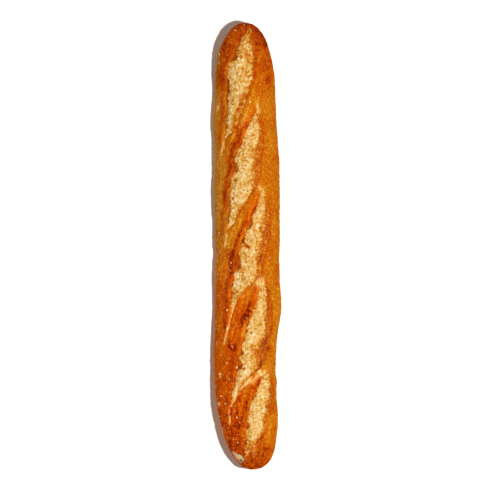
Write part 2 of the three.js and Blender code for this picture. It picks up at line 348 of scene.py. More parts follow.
# %% [markdown]
# ## Meshes from rings
# Both the crust and each leaf of crumb are closed tubes: rings of points joined by quads, with a fan to a
# point at each end. One function makes them all, so there is one place to get the winding right.


# %% Closed tubes as a Blender mesh
def put_in_scene(name, data):
    thing = bpy.data.objects.new(name, data)
    bpy.context.scene.collection.objects.link(thing)
    return thing


def add_piece(name, tubes):
    """Each tube is its rings, its two tips and its layers of numbers, with the tips' numbers last."""
    points, corners, sizes, start = [], [], [], 0
    for rings, tips, layers in tubes:
        rows, columns = rings.shape[:2]
        grid = start + np.arange(rows * columns).reshape(rows, columns)
        turned = np.roll(grid, -1, axis=1)
        tip = np.full(columns, start + rows * columns)
        quads = np.stack([grid[:-1], grid[1:], turned[1:], turned[:-1]], -1)
        fans = np.stack([[tip, grid[0], turned[0]], [tip + 1, turned[-1], grid[-1]]], 0).transpose(0, 2, 1)
        points.append(np.concatenate([rings.reshape(-1, 3), tips]))
        corners += [quads.ravel(), fans.ravel()]
        sizes += [np.full(quads.size // 4, 4), np.full(fans.size // 3, 3)]
        start += len(points[-1])
    points, corners, sizes = (np.concatenate(parts) for parts in (points, corners, sizes))
    mesh = bpy.data.meshes.new(name)
    mesh.vertices.add(len(points))
    mesh.vertices.foreach_set("co", ((points + MOVE) * MM).ravel())
    mesh.loops.add(len(corners))
    mesh.loops.foreach_set("vertex_index", corners)
    mesh.polygons.add(len(sizes))
    mesh.polygons.foreach_set("loop_start", np.cumsum(sizes) - sizes)
    mesh.polygons.foreach_set("loop_total", sizes)
    mesh.polygons.foreach_set("use_smooth", np.ones(len(sizes), bool))
    mesh.update(calc_edges=True)
    for layer in tubes[0][2]:
        values = np.concatenate([tube[2][layer] for tube in tubes]).astype(np.float32)
        kind, key = ("FLOAT", "value") if values.ndim == 1 else ("FLOAT_VECTOR", "vector")
        mesh.attributes.new(layer, kind, "POINT").data.foreach_set(key, values.ravel())
    print(f"{name}: {len(points)} points, {int(np.sum(sizes - 2))} triangles")
    return put_in_scene(name, mesh)


# %% [markdown]
# ## The crust
# The crust is the roll's skin. Beside each cut it rises into the ear, rolls over the edge and dives under
# the crumb. Columns of points gather where an ear crosses a section, so that the thin lip stays crisp
# while the smooth underside takes few. Each point also carries how much it is baked, with painted light
# and shade added in places, which later sets its colour.

# %% Relief beside the slashes
EAR = {"height": 2.4, "width": 7.5, "drop": 1.3, "overhang": 0.9, "crease": 0.25, "crease_run": 2.0}
# shares of a slash over which cut and ear grow from its tip and die out to its tail
CUT_RAMP = (0.1, 0.15)
SWELL_RAMP = (0.14, 0.2)
# a cut is as deep as the trench where it is wide, and its walls take these widths to get there
TRENCH = {"depth": 3.2, "wide": (1, 7), "lip": 0.7, "ear_wall": 0.6, "soft_wall": 2.0}
LIP = {"groove": 0.5, "reach": 0.4}
OVERHANG = {"at": 0.6, "reach": 1.4}
UNDERCUT = {"back": 1.1, "reach": 0.7, "share": 1.6}
TEAR = {
    "at": (-225.5, 10.8), "long": 7.5, "wide": 4.2, "turn": math.pi / 4, "depth": 2.6,
    "narrow": 0.35, "narrows": (-0.6, 0.9), "edge": (1.15, 0.85),
}


def in_tear(x, y):
    """How far a place is into the short crack where the seam opened at the foot."""
    dx, dy = x - TEAR["at"][0], y - TEAR["at"][1]
    along = (dx * math.cos(TEAR["turn"]) + dy * math.sin(TEAR["turn"])) / TEAR["long"]
    across = dy * math.cos(TEAR["turn"]) - dx * math.sin(TEAR["turn"])
    wide = TEAR["wide"] * mix(1.0, TEAR["narrow"], smooth(*TEAR["narrows"], along)) * (1 + ragged("tear", x))
    return smooth(*TEAR["edge"], np.maximum(np.abs(along), np.abs(across) / wide))


def crust_lift(x, y):
    """How far the crust stands above the plain roll, and how far it leans along the surface."""
    lift = DOUGH_LUMP["height"] * waves(x, y, DOUGH_LUMP["length"]) - TEAR["depth"] * in_tear(x, y)
    lean = np.zeros_like(lift)
    for slash in SLASHES:
        t = slash_share(slash, x)
        inside = (t > 0) & (t < 1)
        t = np.clip(t, 0, 1)
        ear, soft = slash_edges(slash, t)
        past_ear, past_soft = y - ear, soft - y
        hole = (past_ear < 0) & (past_soft < 0)
        swell = fade(t, SWELL_RAMP) * inside
        depth = fade(t, CUT_RAMP) * inside * smooth(*TRENCH["wide"], ear - soft)
        # outside the lip the skin falls away to the flank, past a shallow crease
        ridge = EAR["height"] * slope(past_ear / EAR["width"])
        groove = LIP["groove"] * bell(past_ear / LIP["reach"])
        crease = EAR["crease"] * bell((past_ear - EAR["width"]) / EAR["crease_run"])
        # inside the cut it drops to a floor that the crumb covers
        floor = -TRENCH["depth"] * smooth(0, TRENCH["ear_wall"], -past_ear)
        floor = floor * smooth(0, TRENCH["soft_wall"], -past_soft)
        floor = mix(swell * EAR["height"], floor, smooth(0, TRENCH["lip"], -past_ear))
        inner = np.where(hole, depth * floor, 0)
        lift = lift + np.where(past_ear >= 0, swell * (ridge - groove - crease), inner)
        # the lip leans over the crumb, and the wall below it is cut back
        over = bell((past_ear - OVERHANG["at"]) / OVERHANG["reach"]) * (past_soft < 0)
        under = UNDERCUT["share"] * bell((past_ear + UNDERCUT["back"]) / UNDERCUT["reach"]) * hole
        lean = lean + depth * EAR["overhang"] * (under - over)
    return lift, lean


print("from an ear's ridge down to the hidden trench, mm:", round(EAR["height"] + TRENCH["depth"], 1))

# %% How much each place is baked
# (x, y, reach along, reach across, amount): darker where the skin faced the heat, paler where it stretched
BAKED_MARKS = [
    (212, 25, 16, 7, 0.20), (236, 0, 6, 14, 0.12), (215, 12, 7, 5, -0.15), (217, -16, 7, 4, 0.12),
    (224, -13, 9, 9, 0.13), (195, -17, 14, 8, 0.14), (154, 32, 14, 6, -0.12), (137, -1, 8, 5, -0.16),
    (39, 4, 12, 5, -0.05), (107, 18, 9, 4, 0.24), (153, 27, 10, 2.5, 0.14), (-195, -29, 25, 5, 0.15),
    (-183, 15, 8, 4, 0.10), (-157, -1, 8, 5, 0.16), (121, 8.5, 8, 3, 0.16), (183, 30, 8, 7, 0.14),
    (-58, 3, 10, 5, 0.05), (-105, 24, 24, 10, -0.03), (-114, 10, 9, 5, -0.08), (178, -22, 4, 3, 0.25),
    (184, 33, 12, 5, 0.12), (-17, 18, 14, 4, 0.22), (-43, 26, 14, 7, 0.15), (-182, 11, 12, 4, 0.16),
    (-107, 17, 4, 5, 0.25), (-80, 5, 2.0, 2.0, 0.30), (-165, 22, 70, 18, 0.14), (-232, -8, 14, 22, 0.05),
    (222, -17, 16, 9, 0.20), (192, -24, 24, 10, 0.10), (-217, -21, 3, 3, 0.25), (-160, 12, 14, 6, 0.12),
    (-206, 15, 10, 7, 0.22), (-110, -23, 3, 3, 0.30),
]
# the same for skin that was stretched or scraped pale. A negative amount takes paleness away
PALE_MARKS = [
    (231, -2, 4, 3, -0.4), (-34, -9, 5, 6, 0.45), (-40, -13, 6, 5, 0.8), (-216, -7, 8, 2.5, 0.5),
    (145, -10.5, 6, 1.4, 0.5), (-134, -11, 4, 6, 0.6), (63, -13, 3, 4, 0.3), (153, -11, 5, 2, 0.3),
    (154, 32, 12, 5, 0.12), (-141, 0, 6, 5, 0.35), (-137, 29, 1.6, 1.4, 1.6), (-169, 30, 1.6, 1.6, 1.6),
    (21, 36, 1.2, 1.2, 0.6),
]
# (x, y, x, y, reach, amount): thin pale lines, such as stretch marks at the tips and a scratch on the flank
PALE_LINES = [
    (151, 30.6, 145, 34.4, 0.8, 0.8), (-131, -9.7, -138, -15.6, 1.0, 0.9),
    (-138, -15.6, -133, -21.5, 0.9, 0.8), (64, -12.5, 58, -16, 0.8, 0.7), (64, -19, 58, -16, 0.8, 0.5),
    (-131, -6, -134, -14, 2.5, 0.5), (112, 24.6, 97, 28.6, 0.9, 1.1), (14, 22.0, -2, 24.8, 0.7, 1.0),
    (-84, 20, -105, 25.4, 0.9, 1.1), (-166, 16.5, -178, 19.3, 0.7, 0.5),
    (-178, 19.3, -187, 19.4, 0.7, 0.45), (-132, -10, -141, 9, 1.6, 0.9), (-131, -5, -137, 8, 1.4, 0.9),
    (-138, -13, -149, 4, 1.6, 0.8), (139, 1.5, 129, 5.5, 1.6, 0.5), (-140, -4, -153, 8, 1.5, 0.8),
    (-143, 3, -160, 11, 1.3, 0.5), (-137, -14, -146, -5, 1.2, 0.7),
]
# clusters of small blisters
GLINTS = [
    (-15, 18, 9, 3.5, 1.5), (-146, 12, 12, 6, 0.8), (-64, 22, 30, 8, 0.5), (96, 22, 12, 5, 0.6),
    (203, 24, 8, 8, 0.6),
]
SLASH_TURN = math.radians(13.4)
SLASH_PITCH = 93.0
ROPE_STRETCH = 8.0
CRINKLE_STRETCH = 5.0


def marks(places, x, y):
    """Soft spots added up."""
    return sum(amount * bell((x - px) / rx) * bell((y - py) / ry) for px, py, rx, ry, amount in places)


def lines(places, x, y):
    """The same along short lines: how near a place is to each, times its amount."""
    total = np.zeros_like(x)
    for ax, ay, bx, by, reach, amount in places:
        length = math.hypot(bx - ax, by - ay)
        run = np.clip(((x - ax) * (bx - ax) + (y - ay) * (by - ay)) / length ** 2, 0, 1)
        away = np.hypot(x - mix(ax, bx, run), y - mix(ay, by, run))
        total = np.maximum(total, amount * bell(away / reach))
    return total


print("dark marks:", len(BAKED_MARKS), " pale marks:", len(PALE_MARKS), " pale lines:", len(PALE_LINES))

# %% What each slash does to the skin around it
# the strip past the ear, darkened partly as browned skin and partly as painted shade of the ear's outer
# slope, the border past the soft edge, darkened partly as toast and partly as painted shade of its small
# step, and the strap up to the next slash, lightened as a painted sheen. A pair of numbers is two places
# between which something grows or fades, in millimetres, or in shares of the slash
STRIP = {"along": (0.12, 0.2), "starts": (0.4, 1.4), "ends": (7.5, 5.0), "gaps_from": -2, "wanders_from": 2}
SOFT_BORDER = {
    "share": 0.45, "past": 1.1, "reach": 1.4, "from": -1, "bare": (0.5, 0.6), "again": (0.68, 0.74),
}
STRAP = {"painted_sheen": 0.09, "where": (-40, 20), "past_soft": (0, 2), "to_next": (-1, 3), "along": (0.3, 0.5)}
TIP_PALE = {"amount": 0.4, "back": 2.0, "along": 5.0, "aside": 1.0, "across": 1.5}


def beside_slash(slash, x, y):
    """How much more the skin is baked, with painted shade beside the ear and a painted sheen on the strap,
    flushed, roped like a strap, or pale where it was stretched.
    """
    t = slash_share(slash, x)
    inside = ((t > 0) & (t < 1)).astype(float)
    t = np.clip(t, 0, 1)
    ear, soft = slash_edges(slash, t)
    past_ear, past_soft = y - ear, soft - y
    strength = inside * fade(t, STRIP["along"])
    strip = strength * smooth(*STRIP["starts"], past_ear) * smooth(*STRIP["ends"], past_ear)
    # painted shade, partly: the strip beside the ear is darkened both as browned skin and as the shade of
    # the ear's outer slope
    bake = slash["strip"] * strip
    number = SLASHES.index(slash)
    wander = ragged("wander", x, number)
    uneven = 1 + ragged("uneven", x, number)
    # the gaps deepen that with more painted shade, or lighten it with painted light where the amount is
    # negative
    for at, run, past, reach, amount in slash["gaps"]:
        shift = past + wander * (past > STRIP["wanders_from"])
        near = bell((t - at) / run) * bell((past_ear - shift) / reach)
        bake = bake + inside * (past_ear > STRIP["gaps_from"]) * amount * uneven * near
    # painted shade, partly: the skin just past the soft edge is darkened both as toast and as the shade of
    # its small step
    bare = smooth(*SOFT_BORDER["bare"], t) * (1 - smooth(*SOFT_BORDER["again"], t))
    border = slash["toast"] * (1 - bare)
    beside_soft = bell((past_soft - SOFT_BORDER["past"]) / SOFT_BORDER["reach"])
    beside_soft = beside_soft * (past_soft > SOFT_BORDER["from"])
    bake = bake + strength * SOFT_BORDER["share"] * border * beside_soft
    next_line = mix(slash["tip"][1], slash["tail"][1], slash_share(slash, x + SLASH_PITCH))
    strap = inside * smooth(*STRAP["past_soft"], past_soft) * smooth(*STRAP["to_next"], y - next_line)
    strap = strap * smooth(*STRAP["along"], t)
    # painted sheen: the straps between the slashes are made lighter where a satin sheen from the lamp would
    # show
    bake = bake - STRAP["painted_sheen"] * strap * smooth(*STRAP["where"], x)
    pale = TIP_PALE["amount"] * bell((x - slash["tip"][0] + TIP_PALE["back"]) / TIP_PALE["along"])
    pale = pale * bell((y - slash["tip"][1] - TIP_PALE["aside"]) / TIP_PALE["across"])
    return {"bake": bake, "flushed": strip, "strap": strap, "pale": pale}


print("how far from an ear its darker strip ends, mm:", STRIP["ends"][0])

# %% Zones of the skin
# each zone: how far round the section, from -1 on the right flank over 0 on the crown to 1 on the left
# one, and where along x, each as the place where it begins and the place where it is full
ZONES = {
    "painted_flank_light": ((0.3, 0.85), (-70, 0), (185, 150)),
    "flushed": ((-0.2, 0.4), (20, -40), (-236, -212)),
    "low_left": ((-0.1, 0.4), (50, -60)),
    "head_left": ((0, 0.4), (150, 200)),
    "crinkled": ((-0.5, 0.1), (-188, -205)),
}


def zone(name, side, x):
    """How much a place belongs to one zone of the skin."""
    around_to, *along = ZONES[name]
    share = smooth(*around_to, side)
    for ramp in along:
        share = share * smooth(*ramp, x)
    return share


print("zones:", ", ".join(ZONES))

# %% Numbers for the whole skin
# painted light: the bake is lowered and a pale coat laid on the left flank, which faces away from the lamp
BAKE = {"plain": 0.40, "foot_left": 0.06, "ends": 0.26, "below": -0.12, "painted_flank_light": -0.14}
MOST_BAKED = {"most": 0.74, "more_at_head": 0.10}
PAINTED_FLANK_PALE = 0.10
TEAR_HOLE_SHADE = {"at": (-231, 7.5), "radius": 1.8}
BLISTERED = {"thin": 0.03, "low_left": 0.8, "flank": 0.25, "head": 0.15}
PALEST_SKIN = 1.2
# how dark the short tear's seam is. Its hole doubles that, as painted shade where the crack is deepest
SEAM = 0.5
# between which two places something grows: by how far the skin faces up,
UPPER = (0.05, 0.45)
LOWER = (0.5, -0.3)
# by how far it faces left,
FLANK = (0.5, 0.85)
# by x, and by the distance from a tip,
FOOT_LEFT = (60, -140)
HEAD_TIP = (200, 226)
ENDS = (3, 42)
# and by the height over the table
LIFTED = (0, 3)
ON_TABLE = (0, 1.5)
BLISTERS_FROM = (8, 20)


def crust_layers(x, y, z, angle):
    """Numbers for each point of the crust that its relief and its colour are made from."""
    side, up = -np.cos(angle), np.sin(angle)
    upper = smooth(*UPPER, up)
    slashes = [beside_slash(slash, x, y) for slash in SLASHES]
    # the left flank faces away from the lamp and is made paler with painted light, and it is flushed red
    # towards the foot
    painted_flank_light, flushed = zone("painted_flank_light", side, x), zone("flushed", side, x)
    bake = BAKE["plain"] + BAKE["foot_left"] * side * smooth(*FOOT_LEFT, x)
    bake = bake + BAKE["ends"] * (1 - smooth(*ENDS, from_tip(x))) + BAKE["below"] * smooth(*LOWER, up)
    bake = bake + BAKE["painted_flank_light"] * painted_flank_light + upper * marks(BAKED_MARKS, x, y) + sum(s["bake"] for s in slashes)
    pale = upper * (marks(PALE_MARKS, x, y) + lines(PALE_LINES, x, y)) + sum(s["pale"] for s in slashes)
    # painted shade: the tear is darkened at its hole, where the crack is deepest
    hole = bell(np.hypot(x - TEAR_HOLE_SHADE["at"][0], y - TEAR_HOLE_SHADE["at"][1]) / TEAR_HOLE_SHADE["radius"])
    blistered = BLISTERED["thin"] + BLISTERED["low_left"] * zone("low_left", side, x)
    blistered = blistered + BLISTERED["head"] * zone("head_left", side, x)
    blistered = blistered + BLISTERED["flank"] * smooth(*FLANK, side) + marks(GLINTS, x, y)
    along = x * math.cos(SLASH_TURN) - y * math.sin(SLASH_TURN)
    over = x * math.sin(SLASH_TURN) + y * math.cos(SLASH_TURN)
    flat = np.zeros_like(x)
    return {
        "bake": np.minimum(bake, MOST_BAKED["most"] + MOST_BAKED["more_at_head"] * smooth(*HEAD_TIP, x)),
        "pale": np.clip(pale + PAINTED_FLANK_PALE * painted_flank_light, 0, PALEST_SKIN),
        "strap": np.max([s["strap"] for s in slashes], axis=0),
        "flushed": np.max([flushed] + [s["flushed"] for s in slashes], axis=0),
        "crinkled": zone("crinkled", side, x),
        "crinkle": np.stack([x, y / CRINKLE_STRETCH, flat], -1),
        "rope": np.stack([along / ROPE_STRETCH, over, flat], -1),
        "relief": smooth(*LIFTED, z),
        "base": 1 - smooth(*ON_TABLE, z),
        "tear": SEAM * in_tear(x, y) * upper * (1 + hole),
        "blistering": smooth(*BLISTERS_FROM, z) * blistered,
    }


middle_of_crown = [np.array([value]) for value in (0.0, 0.0, CROWN_HEIGHT, np.pi / 2)]
print("bake in the middle of the crown:", round(float(crust_layers(*middle_of_crown)["bake"][0]), 2))

# %% Build the crust
CRUST_ROWS = 640
CRUST_COLUMNS = 150
FINE_STEPS = 720
CROWN_FROM = (-0.1, 0.3)
END_CROWDING = 0.6
POINTS_BELOW = {"share": 0.35, "from": (-0.3, 0.3)}
CROWDED = {"wide": (0, 6), "reach": 1.6, "inside": 0.2, "ear": 3.0, "soft": 0.6}


def column_angles(x):
    """Angles of one section's points: even by length, thin below, and close together at an ear."""
    angles = np.linspace(-np.pi / 2, 1.5 * np.pi, FINE_STEPS + 1)
    points = roll_point(np.full_like(angles, x), angles)
    middle = (angles[1:] + angles[:-1]) / 2
    y = (points[1:, 1] + points[:-1, 1]) / 2
    density = mix(POINTS_BELOW["share"], 1.0, smooth(*POINTS_BELOW["from"], np.sin(middle)))
    for slash in SLASHES:
        t = slash_share(slash, np.array(x))
        if 0 < t < 1:
            ear, soft = slash_edges(slash, t)
            open_here = float(smooth(*CROWDED["wide"], ear - soft)) * (np.sin(middle) > 0)
            at_ear = bell((y - ear + CROWDED["inside"]) / CROWDED["reach"])
            density = density + open_here * CROWDED["ear"] * at_ear
            density = density + open_here * CROWDED["soft"] * bell((y - soft) / CROWDED["reach"])
    pieces = np.linalg.norm(np.diff(points, axis=0), axis=1) * density
    reach = np.concatenate([[0], np.cumsum(pieces)])
    return np.interp(np.arange(CRUST_COLUMNS) / CRUST_COLUMNS * reach[-1], reach, angles)


along = np.linspace(-1, 1, CRUST_ROWS + 2)[1:-1]
stations = LENGTH / 2 * mix(along, np.sin(np.pi / 2 * along), END_CROWDING)
angles = np.array([column_angles(x) for x in stations])
across = np.repeat(stations[:, None], CRUST_COLUMNS, 1)
rings = roll_point(across, angles)
out_of, around = roll_frame(across, angles)
crown_share = smooth(*CROWN_FROM, np.sin(angles)) * smooth(0, TIP_CALM, from_tip(across))
lift, lean = crust_lift(rings[..., 0], rings[..., 1])
layers = crust_layers(rings[..., 0], rings[..., 1], rings[..., 2], angles)
rings = rings + out_of * (lift * crown_share)[..., None] + around * (lean * crown_share)[..., None]
rings[..., 2] = np.maximum(rings[..., 2], 0)

# the CAD solid was moved so that its box is centred, and the same move brings the crust onto it
cad_low, cad_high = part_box("loaf")
MOVE = np.array([0, (cad_low.y + cad_high.y) / 2 / MM - (rings[..., 1].min() + rings[..., 1].max()) / 2, 0])
print("moved across by, mm:", round(float(MOVE[1]), 2))
tips = np.array([
    (-LENGTH / 2, TIP_ACROSS["foot"], TIP_HEIGHT),
    (LENGTH / 2, TIP_ACROSS["head"], TIP_HEIGHT),
])
for name, values in layers.items():
    ends = values[[0, -1], 0]
    layers[name] = np.concatenate([values.reshape(-1, *values.shape[2:]), ends])
crust = add_piece("crust", [(rings, tips, layers)])

# %% [markdown]
# ## The torn crumb
# Where the dough tore, its skin never dried smooth: it is a matt, craggy net of small bubbles. A leaf of
# crumb fills each slash, tucked under the ear on one side and run into the crust on the other. It could be
# painted on the crust, but as a closed piece of its own its colour ends exactly where the lip does. Its
# borders and a few torn shelves faced the heat and are toasted, and the largest bubbles lie open as pits
# with raised rims, the pits darkened with painted shade and the rims lightened with painted light.

# %% How high the torn surface stands
SOFT_STEP = {"depth": 0.35, "run": 2.0}
CRUMB = {"dome": 1.2, "full_width": 14.0, "drop_width": 9, "step_width": 5, "dip": 0.5}


def crumb_lift(width, share):
    """The torn surface over the plain roll, a share of the way from the ear to the soft edge."""
    open_here = smooth(0, CRUMB["full_width"], width) * np.sin(np.pi * np.clip(share, 0, 1))
    to_soft = (1 - share) * width
    soft_step = SOFT_STEP["depth"] * np.exp(-np.maximum(to_soft, 0) / SOFT_STEP["run"])
    soft_step = soft_step * smooth(0, CRUMB["step_width"], width)
    under_crust = CRUMB["dip"] * np.maximum(-to_soft, 0)
    ear_drop = EAR["drop"] * smooth(0, CRUMB["drop_width"], width) * np.square(1 - share)
    return open_here * CRUMB["dome"] - ear_drop - soft_step - under_crust


print("in the middle of a wide slash the crumb stands, mm:", round(float(crumb_lift(20.0, 0.5)), 2))

# %% Where the crumb is toasted, and its open bubbles
# (x, y, reach along, reach across, amount): toasted patches, and paler ones where the amount is negative
TOAST_MARKS = [
    (207, 1.5, 13, 4.5, 0.16), (221, 3.5, 10, 3.0, -0.02), (195, -3, 8, 5, 0.15), (174, 0, 7, 4, 0.10),
    (32, -17, 8, 3, 0.15), (190, 12, 12, 8, 0.02), (-122, -9, 6, 5, 0.2), (-38, 3, 5, 4, 0.1),
    (-219, 1, 5, 4, 0.3), (232, -1, 6, 3, 0.5), (-98, -17, 10, 4, 0.12), (-180, -11, 16, 7, -0.07),
    (124, -3, 12, 4, -0.12), (60, 12, 8, 3, -0.20), (-36, 12, 8, 4, -0.28), (-17, -10, 12, 4, 0.14),
    (-33, -5, 8, 5, 0.05), (8, -15, 9, 4, 0.10), (-118, -10, 12, 5, 0.08), (-214, -3, 9, 5, 0.26),
    (-137, -1, 5, 5, -0.25), (-152, 13, 9, 4, -0.30), (135, 16, 10, 3.5, -0.12), (38, 15, 14, 4, -0.10),
    (0, 0.5, 1.6, 4.0, 0.45), (20, -6, 2.5, 2.0, 0.3), (-49, 11, 1.4, 4.0, 0.3), (-33, 5.5, 4.0, 1.2, 0.3),
]
# (x, y, radius, amount): open bubbles, each a hollow inside a raised rim, darkened with painted shade inside
# and lightened with painted light on the rim
PITS = [
    (70.9, 12.8, 2.2, 0.7), (50.9, 15.7, 1.3, 1.0), (19.7, -14.3, 1.6, 0.5), (-92.5, -3.6, 1.4, 0.9),
    (-130.8, 3.8, 1.3, 1.0), (86.0, 2.0, 1.1, 0.6), (-4.0, -9.0, 1.2, 0.5), (202.0, 7.0, 1.6, 0.5),
    (196.0, 10.0, 1.4, 0.5), (60.0, 4.0, 1.2, 0.7), (-78.0, 6.0, 1.0, 0.6), (-170.0, -6.0, 1.1, 0.6),
]
# (x, y, x, y, reach, amount): a torn shelf, toasted because it faced the heat
TOAST_LINES = [
    (163, 2.5, 135, 13.0, 2.6, 0.36), (135, 13.0, 124, 16.5, 1.5, 0.35), (10.5, 5.8, 5.5, 4.8, 1.1, 0.6),
    (5.5, 5.4, -1.0, -1.0, 1.0, 0.6),
]
# how far out the rim lies and how wide it is, in radii of its pit
PIT_RIM = {"height": 0.5, "at": 1.9, "reach": 0.6}
# toast on the ledge below the ear and in the band at the soft edge: most is a share of the leaf's width,
# full and gone are shares of the ledge or the band, run and past are millimetres, and shade is painted
# shade that darkens the crumb towards the ear and the soft edge, fading over run
EAR_TOAST = {"ledge": 0.46, "shade": 0.12, "run": 4.0, "most": 0.45, "full": 0.8}
LEDGE = {"drop": 0.9, "full": 0.85, "gone": 1.05, "past": 0.3, "wide": (1.0, 3.0)}
SOFT_TOAST = {
    "shade": 0.10, "run": 6.0, "most": 0.35, "full": 0.6, "gone": 2.2, "wide": (3, 10),
    "at_tail": 0.35, "tail": (0.58, 0.76),
}
# how toasted plain cream crumb is, and the palest that any may be
CREAM = -0.05
PALEST = -0.16
# a slash narrower than the first width stays cream, and from the second on it takes all its toast
TOASTED_WIDE = (2, 7)


def pits(x, y):
    """Open bubbles in the crumb: up to 1 in the middle of a pit, and below 0 on its rim."""
    total = np.zeros_like(x)
    for px, py, radius, amount in PITS:
        away = np.hypot(x - px, y - py) / radius
        rim = PIT_RIM["height"] * bell((away - PIT_RIM["at"]) / PIT_RIM["reach"])
        total = total + amount * (bell(away) - rim)
    return total


def leaf_toast(slash, t, from_ear, to_soft):
    """From 0, cream, to 1, toasted like crust, with painted shade near both edges."""
    width = from_ear + to_soft
    ledge = np.minimum(slash["ledge"] + teeth(slash["teeth"], t), EAR_TOAST["most"] * width)
    band = np.minimum(slash["band"] + bells(slash["bands"], t), SOFT_TOAST["most"] * width)
    on_ledge = 1 - smooth(EAR_TOAST["full"] * ledge, LEDGE["gone"] * ledge + LEDGE["past"], from_ear)
    in_band = 1 - smooth(SOFT_TOAST["full"] * band, SOFT_TOAST["gone"] * band, to_soft)
    in_band = in_band * smooth(*SOFT_TOAST["wide"], width)
    # painted shade: the crumb darkens towards the ear and towards the soft edge
    near_ear = EAR_TOAST["shade"] * np.exp(-np.maximum(from_ear, 0) / EAR_TOAST["run"])
    near_soft = SOFT_TOAST["shade"] * np.exp(-np.maximum(to_soft, 0) / SOFT_TOAST["run"])
    at_ear = EAR_TOAST["ledge"] * on_ledge + near_ear
    at_soft = slash["toast"] * in_band + near_soft
    at_soft = at_soft * mix(1, SOFT_TOAST["at_tail"], smooth(*SOFT_TOAST["tail"], t))
    return mix(CREAM, np.maximum(at_ear, at_soft), smooth(*TOASTED_WIDE, width)), ledge


print(len(TOAST_MARKS), "patches,", len(TOAST_LINES), "torn shelves and", len(PITS), "open bubbles")

# %% Build the leaves
LEAF_STEP = 0.5
LEAF_COLUMNS = 56
# the leaf reaches this far under the ear and under the crust past the soft edge
TUCK = 1.8
SOFT_TUCK = 2.5
LEAF_THICKNESS = 1.6
# each leaf reads its grain from a place of its own, this far from the next one's
LEAF_APART = 90.0
# without its relief a leaf stands this far over the roll, and its two end points lie this far under it
LEAF_LIFT = 0.15
TIP_SUNK = 0.1
GOLDEN_TAIL = {"most": 0.9, "along": (0.5, 0.75), "narrow": (10, 3)}
# how far inside each edge the relief begins and is full, and at which widths of the slash
SHOWING = {"at_ear": (-0.5, 0.6), "at_soft": (-0.5, 1.5), "wide": (0, 6)}
# the numbers that the two end points of a leaf carry, at its tip and at its tail
LEAF_ENDS = {"toast": [0.4, 0.8], "relief": [0.0, 0.0], "pit": [0.0, 0.0], "golden": [0.3, 0.9]}


def build_leaf(number, slash):
    length = slash["tip"][0] - slash["tail"][0]
    rows = int(length / LEAF_STEP)
    t = np.linspace(0, 1, rows + 2)[1:-1][:, None]
    ear, soft = slash_edges(slash, t)
    width = ear - soft
    shares = np.linspace(0, 1, LEAF_COLUMNS)[None, :]
    tuck, soft_tuck = np.minimum(TUCK, width / 2), np.minimum(SOFT_TUCK, width / 4)
    y = mix(ear + tuck, soft - soft_tuck, shares)
    x = np.broadcast_to(mix(slash["tip"][0], slash["tail"][0], t), y.shape)
    toast, ledge = leaf_toast(slash, t, ear - y, y - soft)
    toast = np.maximum(toast + marks(TOAST_MARKS, x, y) + lines(TOAST_LINES, x, y), PALEST)
    lump = DOUGH_LUMP["height"] * waves(x, y, DOUGH_LUMP["length"])
    past_ledge = smooth(LEDGE["full"] * ledge, LEDGE["gone"] * ledge + LEDGE["past"], ear - y)
    on_ledge = -LEDGE["drop"] * (1 - past_ledge) * smooth(*LEDGE["wide"], ledge)
    angle = crown_angle(x, y)
    out_of = roll_frame(x, angle)[0]
    lift = lump + fade(t, CUT_RAMP) * (crumb_lift(width, (ear - y) / width) + on_ledge) + LEAF_LIFT
    top = roll_point(x, angle) + out_of * lift[..., None]
    under = (top - out_of * LEAF_THICKNESS)[:, [-1, 0]]
    golden = GOLDEN_TAIL["most"] * smooth(*GOLDEN_TAIL["along"], t) * smooth(*GOLDEN_TAIL["narrow"], width)
    showing = smooth(*SHOWING["at_ear"], ear - y) * smooth(*SHOWING["at_soft"], y - soft)
    showing = showing * smooth(*SHOWING["wide"], width)
    place = np.stack([x, y, np.full_like(y, LEAF_APART * number)], -1)
    ends = np.array([slash["tip"], slash["tail"]], float)
    tips = roll_point(ends[:, 0], crown_angle(ends[:, 0], ends[:, 1])) - (0, 0, TIP_SUNK)
    hidden = np.zeros((rows, 2))
    golden = np.broadcast_to(golden, y.shape)
    values = {"toast": toast, "relief": showing, "pit": pits(x, y), "golden": golden}
    layers = {
        name: np.append(np.concatenate([hidden, values[name]], 1), at_ends)
        for name, at_ends in LEAF_ENDS.items()
    }
    layers["leaf"] = np.concatenate([
        np.concatenate([place[:, [-1, 0]], place], 1).reshape(-1, 3),
        np.column_stack([ends, [LEAF_APART * number] * 2]),
    ])
    return np.concatenate([under, top], 1), tips, layers


crumb = add_piece("torn_crumb", [build_leaf(number, slash) for number, slash in enumerate(SLASHES, 1)])

# %% [markdown]
# ## Node trees
# Materials and Geometry Nodes are both trees of nodes, and links drawn by hand in an editor would do.
# Built in the script they can be read and repeated. One function adds a node with its settings and its
# links to any tree, and another adds up weighted values. A geometry tree takes its sizes and its material
# as named inputs, ends in Realize Instances and Set Material, and its result is kept as a plain mesh.


# %% Node helpers
def linear(hex_code):
    """An sRGB hex value as linear red, green, blue and alpha."""
    channels = [int(hex_code[i:i + 2], 16) / 255 for i in (1, 3, 5)]
    return [c / 12.92 if c <= 0.04045 else ((c + 0.055) / 1.055) ** 2.4 for c in channels] + [1.0]


def add_node(tree, kind, inputs=None, output=0, stops=(), **settings):
    """Adds a node with its settings, links and colour stops, and gives one output, or the node for None."""
    node = tree.nodes.new(kind)
    for name, value in settings.items():
        setattr(node, name, value)
    for key, value in (inputs or {}).items():
        if isinstance(value, bpy.types.NodeSocket):
            tree.links.new(value, node.inputs[key])
        else:
            node.inputs[key].default_value = value
    for number, (place, colour) in enumerate(stops):
        elements = node.color_ramp.elements
        element = elements[number] if number < len(elements) else elements.new(place)
        element.position = place
        element.color = linear(colour)
    return node if output is None else node.outputs[output]


def new_material(name):
    """A material with an empty tree."""
    material = bpy.data.materials.new(name)
    material.use_nodes = True
    material.node_tree.nodes.clear()
    return material, material.node_tree


